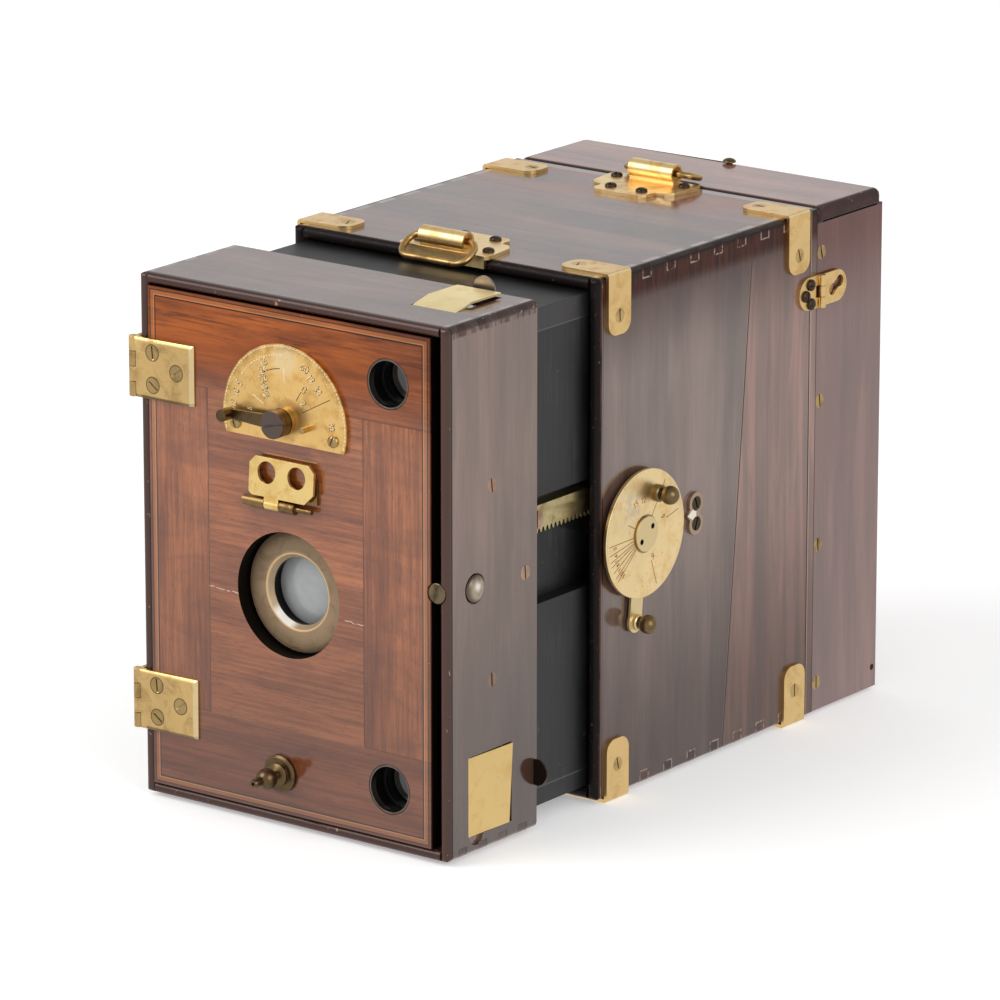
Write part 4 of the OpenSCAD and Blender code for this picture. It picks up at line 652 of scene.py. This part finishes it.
def dress_brackets(finish, color):
    """Painted highlight along the bent edges of the corner brackets."""
    bend_highlight = finish.x.size().rise(72.1, 72.6) * (finish.z - 101.5).size().rise(100.7, 101.2)
    return finish.mix(bend_highlight * 0.7, color, tone(255, 244, 212))


def dress_tabs(finish, color):
    """Painted shade on the lower finder tab."""
    return finish.mix(finish.z.fall(60, 80), color, tone(60, 48, 42))


def dress_hinge(finish, color):
    """Painted shade on the lower bevels and a painted highlight on the outer bevels of the door's hinges, and
    dark rings round their countersunk screws.
    """
    across, z = finish.x - HINGE_PIN, finish.z
    # Painted shade on the lower bevel of each leaf.
    layers = [(z.near(middle - 11, 0.6, 0.3) * across.rise(4, 5), 0.7, (92, 74, 48))
              for middle in HINGE_MIDDLES]
    # Painted highlight on the outer bevel of the leaves.
    layers.append((across.rise(27, 27.3), 0.45, (250, 234, 190)))
    for middle in HINGE_MIDDLES:
        for reach, up in HINGE_SCREWS:
            ring = from_axis(across, z, (reach, middle + up)).near(3.05, 0.12, 0.25)
            layers.append((ring, 0.75, (70, 54, 34)))
    return painted(finish, color, layers)


def dress_case_screws(finish, color):
    """Dark screws in the lugs, the hasp and the index plate among the brass ones."""
    x, y, z = finish.x, finish.y, finish.z
    lugs = z.rise(202.4, 202.6) * x.size().fall(28, 29)
    hasp = x.rise(71.6, 71.8) * y.rise(58, 59) * z.rise(160, 161) * z.fall(180, 181)
    index = x.rise(71.4, 71.6) * y.between(-15, -1, 0.5) * z.between(85, 115, 1)
    return finish.mix(lugs.most(hasp).most(index), color, tone(70, 58, 46))


brass = lacquered("lacquered_brass", (234, 198, 134), (186, 138, 74), 0.29)
bracket_brass = lacquered("corner_bracket_brass", (234, 198, 134), (186, 138, 74), 0.29, dress=dress_brackets)
lug_brass = lacquered("strap_lug_brass", (246, 214, 152), (196, 150, 84), 0.29, 0.6)
worn_brass = lacquered("worn_leaf_brass", (255, 222, 146), (210, 152, 66), 0.29, 0.6)
cover_brass = lacquered("finder_cover_brass", (255, 222, 146), (210, 152, 66), 0.29, 0.5, dress=dress_covers)
dial_brass = lacquered("speed_dial_brass", (252, 208, 132), (196, 138, 66), 0.3, 0.6, dress=dress_speed_dial)
hinge_brass = lacquered("door_hinge_brass", (224, 188, 126), (150, 116, 70), 0.29, 0.6, dress=dress_hinge)
focus_brass = lacquered("focus_dial_brass", (250, 222, 166), (222, 176, 104), 0.3, 0.5,
                        dress=dress_focus_dial)
dull_brass = lacquered("dull_hinge_brass", (196, 164, 108), (130, 104, 66), 0.32, 0.6)
bronze = lacquered("dark_bronze", (108, 88, 62), (58, 46, 34), 0.29, 0.7)
leaf_bronze = lacquered("leaf_base_brass", (150, 120, 76), (88, 66, 42), 0.29, 0.8)
# Aged brass of the knobs, darkened further as painted shade for the dark surroundings that round knobs
# reflect.
knob_brass = lacquered("knob_brass", (124, 104, 72), (80, 62, 42), 0.28, 0.7, dress=dress_nut)
ring_brass = lacquered("strap_ring_brass", (190, 154, 98), (84, 62, 40), 0.29, 0.8)
lens_bronze = lacquered("lens_ring_bronze", (158, 132, 102), (112, 92, 72), 0.45, 0.6, metal=0.45,
                        dress=dress_lens)
index_bronze = lacquered("index_bronze", (182, 156, 132), (120, 92, 72), 0.29, 0.5, dress=dress_index)
screw_brass = lacquered("screw_brass", (186, 158, 108), (112, 88, 58), 0.32, 0.7, dress=dress_door_screws)
box_screw_brass = lacquered("front_box_screw_brass", (190, 158, 134), (136, 110, 92), 0.36, 0.6,
                            dress=dress_box_screws)
case_screw_brass = lacquered("case_screw_brass", (204, 174, 116), (124, 98, 60), 0.32, 0.6,
                             dress=dress_case_screws)
nickel = lacquered("nickel_plate", (190, 172, 152), (110, 92, 78), 0.28, 0.6, dress=dress_button)
dark_nickel = lacquered("dark_nickel", (122, 112, 104), (70, 62, 56), 0.28, 0.5)
tab_nickel = lacquered("tab_nickel", (142, 132, 124), (100, 88, 80), 0.28, 0.5, dress=dress_tabs)
stud_metal = lacquered("stud_metal", (128, 112, 88), (40, 32, 26), 0.28, 0.7)
rack_brass = lacquered("rack_brass", (196, 180, 134), (132, 116, 78), 0.3, 0.6)


def plain(name, color, **inputs):
    """A simple finish with a faint mottling of its colour."""
    finish = Finish(name)
    color = tone(*color)
    mottling = finish.noise(3, 3, 0.6)
    return finish.surface(finish.mix(mottling * 0.5, color, tuple(part * 0.6 for part in color)), **inputs)


matt_black = plain("matt_black", (14, 13, 13), Roughness=0.6)
hazy_glass = plain("hazy_lens_glass", (160, 163, 162), Roughness=0.14, Coat_Weight=0.6, Coat_Roughness=0.06)
dark_glass = plain("dark_finder_glass", (8, 8, 9), Roughness=0.05, Coat_Weight=1.0, Coat_Roughness=0.03)
silvered = plain("silvered_glass", (190, 194, 196), Metallic=1.0, Roughness=0.06)
light_cuts = plain("light_engraving", (250, 226, 176), Roughness=0.5)
dark_cuts = plain("dark_engraving", (96, 58, 30), Roughness=0.6)
# Colour of the painted shadow of the speed dial's numbers.
number_shadow_paint = plain("painted_number_shadow", (158, 112, 64), Roughness=0.6)
red_cuts = plain("red_engraving", (150, 84, 52), Roughness=0.6)


# Shapes

SHARP_ANGLE = math.radians(32)
TOUCH = 0.05


def add_piece(name, shape, material, body, smooth=True):
    """Adds a mesh piece that rides a body, with the given finish."""
    mesh = bpy.data.meshes.new(name)
    shape.to_mesh(mesh)
    shape.free()
    mesh.materials.append(material)
    if smooth:
        mesh.shade_smooth()
    else:
        mesh.shade_flat()
    piece = bpy.data.objects.new(name, mesh)
    bpy.context.scene.collection.objects.link(piece)
    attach(piece, body)
    return piece


def merged(node):
    """A copy of a CAD node's mesh, whole again: its faces joined and its flat faces undivided."""
    shape = bmesh.new()
    shape.from_mesh(frame["nodes"][node].data)
    bmesh.ops.remove_doubles(shape, verts=shape.verts, dist=0.002 * MM)
    bmesh.ops.dissolve_limit(shape, angle_limit=math.radians(0.5), verts=shape.verts, edges=shape.edges)
    return shape


def outer_edges(shape, low, high):
    """The edges of a board where two faces of the given box meet."""
    found = []
    for edge in shape.edges:
        ends = [vert.co / MM for vert in edge.verts]
        sides = sum(all(abs(end[axis] - limit[axis]) < TOUCH for end in ends)
                    for axis in range(3) for limit in (low, high) if limit[axis] is not None)
        if sides >= 2:
            found.append(edge)
    return found


def round_off(shape, edges, width, segments):
    """Rounds edges of a shape to a width in mm."""
    bmesh.ops.bevel(shape, geom=edges, offset=width * MM, segments=segments, profile=0.5, affect="EDGES",
                    material=-1)


def soften(node, material, width, before=None):
    """Stands for a CAD node, with its edges rounded to a width in mm. before may change its shape first."""
    shape = merged(node)
    if before:
        before(shape)
    piece = add_piece(f"{node}.worn", shape, material, BODY_OF[node])
    piece.data.set_sharp_from_angle(angle=SHARP_ANGLE)
    rounding = piece.modifiers.new("rounding", "BEVEL")
    rounding.width = width * MM
    rounding.segments = 2
    rounding.limit_method = "ANGLE"
    rounding.angle_limit = SHARP_ANGLE
    rounding.use_clamp_overlap = True
    rounding.harden_normals = True
    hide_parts(node)
    return piece


def bevel_hinges(shape):
    """Bevels the hinge leaves on the door along their three free sides."""
    for up in HINGE_MIDDLES:
        edges = outer_edges(shape, (None, HINGE_FACE, up - HINGE_HALF_HEIGHT),
                            (HINGE_PIN + HINGE_REACH, None, up + HINGE_HALF_HEIGHT))
        front = [edge for edge in edges
                 if all(abs(vert.co.y / MM - HINGE_FACE) < TOUCH for vert in edge.verts)]
        round_off(shape, front, 1.3, segments=1)


def shave(shape, place, normal):
    """Cuts away what lies beyond a plane, and closes the cut."""
    bmesh.ops.bisect_plane(shape, geom=shape.verts[:] + shape.edges[:] + shape.faces[:], dist=0.001 * MM,
                           plane_co=Vector(place) * MM, plane_no=normal, clear_outer=True)
    bmesh.ops.holes_fill(shape, edges=[edge for edge in shape.edges if edge.is_boundary], sides=0)


def round_box_corners(half_width, levels, front, nose, corner):
    """Rounds a box's long outer corners, and the ends of its side boards' half-round front edges."""
    def before(shape):
        widest = max(abs(vert.co.x) for vert in shape.verts) / MM
        low, high = levels
        for degrees in range(15, 90, 15):
            out, over = round_point(1, degrees)
            for z, sign in ((low, -1), (high, 1)):
                if widest > half_width - 0.1:
                    y = front + nose - out * nose
                    shave(shape, (0, y, z - sign * nose + sign * over * nose), (0, -out, sign * over))
                for side in (-1, 1):
                    x = side * (half_width - corner) + side * out * corner
                    shave(shape, (x, 0, z - sign * corner + sign * over * corner),
                          (side * out, 0, sign * over))
    return before


round_case = round_box_corners(CASE_HALF_WIDTH, CASE_LEVELS, CASE_FRONT, nose=2.5, corner=2)
round_front = round_box_corners(FRONT_HALF_WIDTH, FRONT_LEVELS, FRONT_MOUTH, nose=2, corner=2.4)


def sink_front_lens(shape):
    """Sets the front lens deeper in its well."""
    for vert in shape.verts:
        if vert.co.y < -144 * MM:
            vert.co.y += 2 * MM


def round_rear_top(shape):
    """Rounds the upper outer edges and corners of the rear box's top."""
    low = (-REAR_HALF_WIDTH, REAR_ENDS[0], None)
    high = (REAR_HALF_WIDTH, REAR_ENDS[1], REAR_TOP)
    round_off(shape, outer_edges(shape, low, high), 3, segments=4)


WOOD = [
    ("case_left", case_side, 0.25, round_case),
    ("case_right", case_side, 0.25, round_case),
    ("case_top", case_level, 0.25, round_case),
    ("case_bottom", case_level, 0.25, round_case),
    ("front_left", front_side, 0.25, round_front),
    ("front_right", front_side, 0.25, round_front),
    ("front_top", front_level, 0.25, round_front),
    ("front_bottom", front_level, 0.25, round_front),
    ("back_sides", rear_side, 0.9, None),
    ("back_top", rear_level, 0.4, round_rear_top),
    ("back_bottom", rear_level, 0.6, None),
    ("plate_frame", case_side, 0.3, None),
    ("rear_door", rear_level, 0.8, None),
    ("plate_holders", holder_wood, 0.5, None),
]
METAL = [
    ("corner_brackets", bracket_brass, 0.3, "brass"), ("strap_lugs", lug_brass, 0.25, "brass"),
    ("hasp_plate", brass, 0.2, "brass"), ("hasp_leaf", brass, 0.2, "brass"),
    ("tripod_plate", brass, 0.3, "brass"), ("back_hinge_fixed", dull_brass, 0.2, "brass"),
    ("back_hinge_leaves", dull_brass, 0.2, "brass"), ("door_hinge_fixed", dull_brass, 0.2, "brass"),
    ("door_hinge_leaves", hinge_brass, 0.15, "brass"), ("dial_index", index_bronze, 0.25, "steel"),
    ("pinion_bush", dull_brass, 0.2, "brass"), ("case_screws", case_screw_brass, 0.08, "steel"),
    ("carriage_screws", box_screw_brass, 0.08, "steel"), ("door_screws", screw_brass, 0.08, "steel"),
    ("back_screws", screw_brass, 0.08, "steel"), ("focus_rack", rack_brass, 0.08, "brass"),
    ("speed_dial", dial_brass, 0.3, "brass"), ("speed_lever", bronze, 0.15, "steel"),
    ("two_hole_leaf", worn_brass, 0.2, "brass"), ("leaf_hinge_base", leaf_bronze, 0.15, "brass"),
    ("top_finder_cover", cover_brass, 0.15, "brass"), ("side_finder_cover", cover_brass, 0.15, "brass"),
    ("release_button", nickel, 0.1, "nickel"), ("door_stud", stud_metal, 0.6, "steel"),
    ("finder_tabs", tab_nickel, 0.1, "steel"), ("finder_rims", dark_nickel, 0.08, "nickel"),
    ("air_nipple", bronze, 0.08, "brass"), ("lens_mount", lens_bronze, 0.2, "brass"),
    ("focus_dial", focus_brass, 0.3, "brass"), ("dial_fittings", knob_brass, 0.12, "brass"),
    ("clamp_lever", knob_brass, 0.15, "brass"), ("focus_pinion", rack_brass, 0.08, "brass"),
    ("front_ring", ring_brass, 0.05, "steel"), ("rear_ring", ring_brass, 0.05, "steel"),
    ("rear_catch_pin", bronze, 0.1, "steel"), ("air_cylinder", dull_brass, 0.15, "brass"),
    ("air_piston", screw_brass, 0.1, "steel"),
]
INSIDE = [
    ("finder_boxes", matt_black, "black_wood"), ("finder_mirrors", silvered, "silvered_glass"),
    ("finder_glass", dark_glass, "lens_glass"),
    ("shutter_board", matt_black, "black_wood"), ("shutter_disc", matt_black, "vulcanite"),
]

for node, material, width, before in WOOD:
    board = soften(node, material, width, before=before)
    board.modifiers.new("flat_faces", "WEIGHTED_NORMAL").keep_sharp = True
door_finish = door_wood()
soften("door_frame", door_finish, 0.5)
soften("door_panel", door_finish, 0.05)
soften("focus_tube", black_polish(), 0.5)
for node, material, width, slot in METAL:
    soften(node, material, width, before=bevel_hinges if node == "door_hinge_leaves" else None)
for node, material, slot in INSIDE:
    soften(node, material, 0.1)
soften("lens_glasses", hazy_glass, 0.1, before=sink_front_lens)


# Marks on the dials

DIGIT_PITCH = 2.8
STROKES = {
    "0": [[(0.3, 0.4), (0, 2), (0.4, 3.7), (1, 4), (1.7, 3.6), (2, 2), (1.7, 0.4), (1, 0), (0.3, 0.4)]],
    "1": [[(0.5, 3.3), (1.1, 4), (1.1, 0)]],
    "2": [[(0, 3.2), (0.5, 4), (1.5, 4), (2, 3.1), (1.6, 2), (0, 0), (2, 0)]],
    "3": [[(0, 3.7), (1, 4), (1.8, 3.3), (1, 2.3), (1.9, 1.3), (1.2, 0.1), (0, 0.2)]],
    "4": [[(1.5, 0), (1.5, 4), (0, 1.3), (2, 1.3)]],
    "5": [[(1.9, 4), (0.3, 4), (0.2, 2.3), (1.4, 2.4), (2, 1.3), (1.3, 0.1), (0, 0.2)]],
    "6": [[(1.7, 4), (0.5, 2.6), (0, 1.2), (0.8, 0), (1.8, 0.5), (1.8, 1.8), (0.9, 2.2), (0.2, 1.7)]],
    "7": [[(0, 4), (2, 4), (0.8, 0)]],
    "8": [[(1, 2.2), (0.2, 3.1), (1, 4), (1.8, 3.1), (1, 2.2), (0, 1.1), (1, 0), (2, 1.1), (1, 2.2)]],
    "9": [[(1.8, 2.6), (1, 1.9), (0.2, 2.7), (0.6, 3.9), (1.7, 3.7), (1.8, 2.6), (1.3, 0.8), (0.4, 0)]],
}


def ray(degrees, inner, outer):
    """A stroke along a radius."""
    return [round_point(inner, degrees), round_point(outer, degrees)]


def arc(radius, start, end):
    """A stroke along a circle, in steps of about 3 degrees."""
    count = max(2, round(abs(end - start) / 3))
    return [round_point(radius, start + (end - start) * i / count) for i in range(count + 1)]


def number(digits, radius, degrees, height):
    """Strokes of a number centred at a place on the dial, its top outwards. STROKES are 2 wide and 4 high."""
    scale = height / 4
    width = DIGIT_PITCH * (len(digits) - 1) + 2
    across, along = round_point(radius, degrees)
    cos, sin = round_point(1, degrees - 90)
    strokes = []
    for index, digit in enumerate(digits):
        for line in STROKES[digit]:
            stroke = []
            for x, y in line:
                u, v = (x + DIGIT_PITCH * index - width / 2) * scale, (y - 2) * scale
                stroke.append((across + u * cos - v * sin, along + u * sin + v * cos))
            strokes.append(stroke)
    return strokes


def engrave(name, body, place, strokes, width, material):
    """Thin flat strokes just above a dial's face, where place turns a point of the face into mm."""
    shape = bmesh.new()
    for stroke in strokes:
        for (u0, v0), (u1, v1) in zip(stroke, stroke[1:]):
            long = math.hypot(u1 - u0, v1 - v0)
            if long < 1e-6:
                continue
            du, dv = (u1 - u0) / long * width / 2, (v1 - v0) / long * width / 2
            corners = [(u0 - du - dv, v0 - dv + du), (u0 - du + dv, v0 - dv - du),
                       (u1 + du + dv, v1 + dv - du), (u1 + du - dv, v1 + dv + du)]
            shape.faces.new([shape.verts.new(Vector(place(u, v)) * MM) for u, v in corners])
    bmesh.ops.recalc_face_normals(shape, faces=shape.faces)
    add_piece(name, shape, material, body, smooth=False)


LIFT = 0.03
# How far the painted shadow of the numbers is offset from them, in mm.
SHADE = 0.16


def on_speed_dial(u, v, lift=LIFT):
    return SPEED_AXIS[0] + u, SPEED_FACE - lift, SPEED_AXIS[1] + v


def on_focus_dial(u, v):
    return FOCUS_FACE + LIFT, FOCUS_AXIS[0] + u, FOCUS_AXIS[1] + v


speed_numbers = []
for digits, radius, degrees, height in (
        ("16", 23, 115, 2.6), ("24", 20.4, 119, 2.6), ("32", 17.6, 124, 2.4), ("40", 14.8, 129, 2.3),
        ("48", 12.2, 135, 2.2), ("5", 23.8, 152, 2.6), ("10", 23.9, 162, 2.4), ("12", 24, 173, 2.4),
        ("60", 23.3, 66, 2.8), ("72", 21.5, 56, 2.6), ("84", 20.8, 42, 2.6), ("3", 16.1, 55, 2.6),
        ("2", 11.6, 43, 2.6), ("90", 21.8, 4, 2.4), ("8", 16.3, 172, 2.4)):
    speed_numbers += number(digits, radius, degrees, height)
# A painted shadow of the speed dial's numbers, offset from them on the dial's face.
engrave("speed_dial.numbers_shade", "front_door", lambda u, v: on_speed_dial(u + SHADE, v - SHADE),
        speed_numbers, 0.42, number_shadow_paint)
engrave("speed_dial.numbers", "front_door", lambda u, v: on_speed_dial(u, v, 0.05), speed_numbers, 0.26,
        light_cuts)
engrave("speed_dial.dark_lines", "front_door", on_speed_dial,
        [arc(19.4, 96, 121), ray(57, 10.3, 17.3), ray(28, 9.8, 24)], 0.3, dark_cuts)
engrave("speed_dial.light_lines", "front_door", on_speed_dial,
        [arc(24.7, 93, 143), ray(90, 14.3, 19.7), ray(152, 10.9, 16.6), arc(27.9, -14, 194)], 0.3, light_cuts)

FAN = (181, 190, 197, 202, 209, 216, 221)
focus_numbers = []
for digits, radius, degrees, height in (
        ("9", 11.8, 21, 2.4), ("6", 10.9, -64, 2.4), ("15", 14, 116, 2.2), ("12", 13.3, 96, 2.2)):
    focus_numbers += number(digits, radius, degrees, height)
for digit, degrees in zip("5678123", FAN):
    focus_numbers += number(digit, 19, degrees + 3.4, 1.6)
engrave("focus_dial.numbers", "focus_dial", on_focus_dial, focus_numbers, 0.26, red_cuts)
engrave("focus_dial.lines", "focus_dial", on_focus_dial,
        [ray(56, 6.8, 22), ray(13.7, 13.8, 21.2), ray(-71, 11.8, 22), ray(153, 7.2, 12)]
        + [ray(degrees, 7.5, 22.5) for degrees in FAN], 0.24, dark_cuts)
engrave("focus_dial.rim_line", "focus_dial", on_focus_dial, [arc(23.6, 0, 360)], 0.24, light_cuts)


# Studio

AIM = Vector((0, 0, 0.1))
EYE = (1.52344, -2.04539, 0.81041)
BACK = Vector((0.5811, -0.7672, 0.2716)).normalized()
RIGHT = Vector((0, 0, 1)).cross(BACK).normalized()
FOCAL_LENGTH = 249.46


def area_light(name, place, size, power):
    """A soft white lamp that shines at the camera."""
    data = bpy.data.lights.new(name, "AREA")
    data.shape = "DISK"
    data.size = size
    data.energy = power
    lamp = bpy.data.objects.new(name, data)
    bpy.context.scene.collection.objects.link(lamp)
    lamp.location = place
    lamp.rotation_euler = (AIM - Vector(place)).to_track_quat("-Z", "Y").to_euler()


def white_world(strength):
    """Soft light, dimmer overhead, and pure white where the camera looks past the floor."""
    world = bpy.data.worlds.new("studio")
    bpy.context.scene.world = world
    world.use_nodes = True
    tree = world.node_tree
    tree.nodes.clear()
    rays = tree.nodes.new("ShaderNodeLightPath")
    soft = tree.nodes.new("ShaderNodeBackground")
    direction = tree.nodes.new("ShaderNodeTexCoord")
    parts = tree.nodes.new("ShaderNodeSeparateXYZ")
    overhead = tree.nodes.new("ShaderNodeMapRange")
    tree.links.new(direction.outputs["Generated"], parts.inputs[0])
    tree.links.new(parts.outputs[2], overhead.inputs["Value"])
    dimmed = {"From Min": 0.35, "From Max": 0.9, "To Min": strength, "To Max": strength * 0.6}
    for key, value in dimmed.items():
        overhead.inputs[key].default_value = value
    tree.links.new(overhead.outputs[0], soft.inputs["Strength"])
    white = tree.nodes.new("ShaderNodeBackground")
    mixed = tree.nodes.new("ShaderNodeMixShader")
    end = tree.nodes.new("ShaderNodeOutputWorld")
    for background in (soft, white):
        background.inputs["Color"].default_value = (1, 1, 1, 1)
    tree.links.new(rays.outputs["Is Camera Ray"], mixed.inputs[0])
    tree.links.new(soft.outputs[0], mixed.inputs[1])
    tree.links.new(white.outputs[0], mixed.inputs[2])
    tree.links.new(mixed.outputs[0], end.inputs["Surface"])


def floor_paper():
    """Pale paper that is plain white in reflections, so that its shadows don't show in the metal."""
    finish = Finish("floor_paper")
    finish.surface((0.9, 0.9, 0.9), Roughness=0.9, Emission_Color=(1, 1, 1, 1), Emission_Strength=0.3)
    end = finish.tree.nodes["Material Output"]
    paper = Signal(finish, end.inputs["Surface"].links[0].from_socket)
    bright = finish.node("ShaderNodeEmission", {}, {"Color": (1, 1, 1, 1), "Strength": 0.82})
    mirrored = finish.node("ShaderNodeLightPath", {}, {}, "Is Glossy Ray")
    both = finish.node("ShaderNodeMixShader", {}, {0: mirrored, 1: paper, 2: bright})
    finish.tree.links.new(both.socket, end.inputs["Surface"])
    return finish.material


def pale_floor():
    """A wide pale floor that looks white and keeps the camera's shadow."""
    shape = bmesh.new()
    bmesh.ops.create_grid(shape, x_segments=2, y_segments=2, size=4)
    mesh = bpy.data.meshes.new("floor")
    shape.to_mesh(mesh)
    shape.free()
    mesh.materials.append(floor_paper())
    floor = bpy.data.objects.new("floor", mesh)
    bpy.context.scene.collection.objects.link(floor)
    floor.location.z = cad_low[2] - 0.0001


white_world(0.85)
pale_floor()
area_light("key", (-1.1, -1.7, 1.7), size=1.9, power=28)
area_light("fill", (1.9, -0.6, 1.0), size=1.6, power=12)

lens = bpy.data.cameras.new("view")
lens.lens = FOCAL_LENGTH
lens.sensor_width = 36
lens.clip_start = 0.05
view = bpy.data.objects.new("view", lens)
bpy.context.scene.collection.objects.link(view)
turned = Matrix((RIGHT, BACK.cross(RIGHT), BACK)).transposed().to_4x4()
view.matrix_world = Matrix.Translation(EYE) @ turned
bpy.context.scene.camera = view
bpy.context.scene.view_settings.view_transform = "Standard"

bpy.context.view_layer.update()
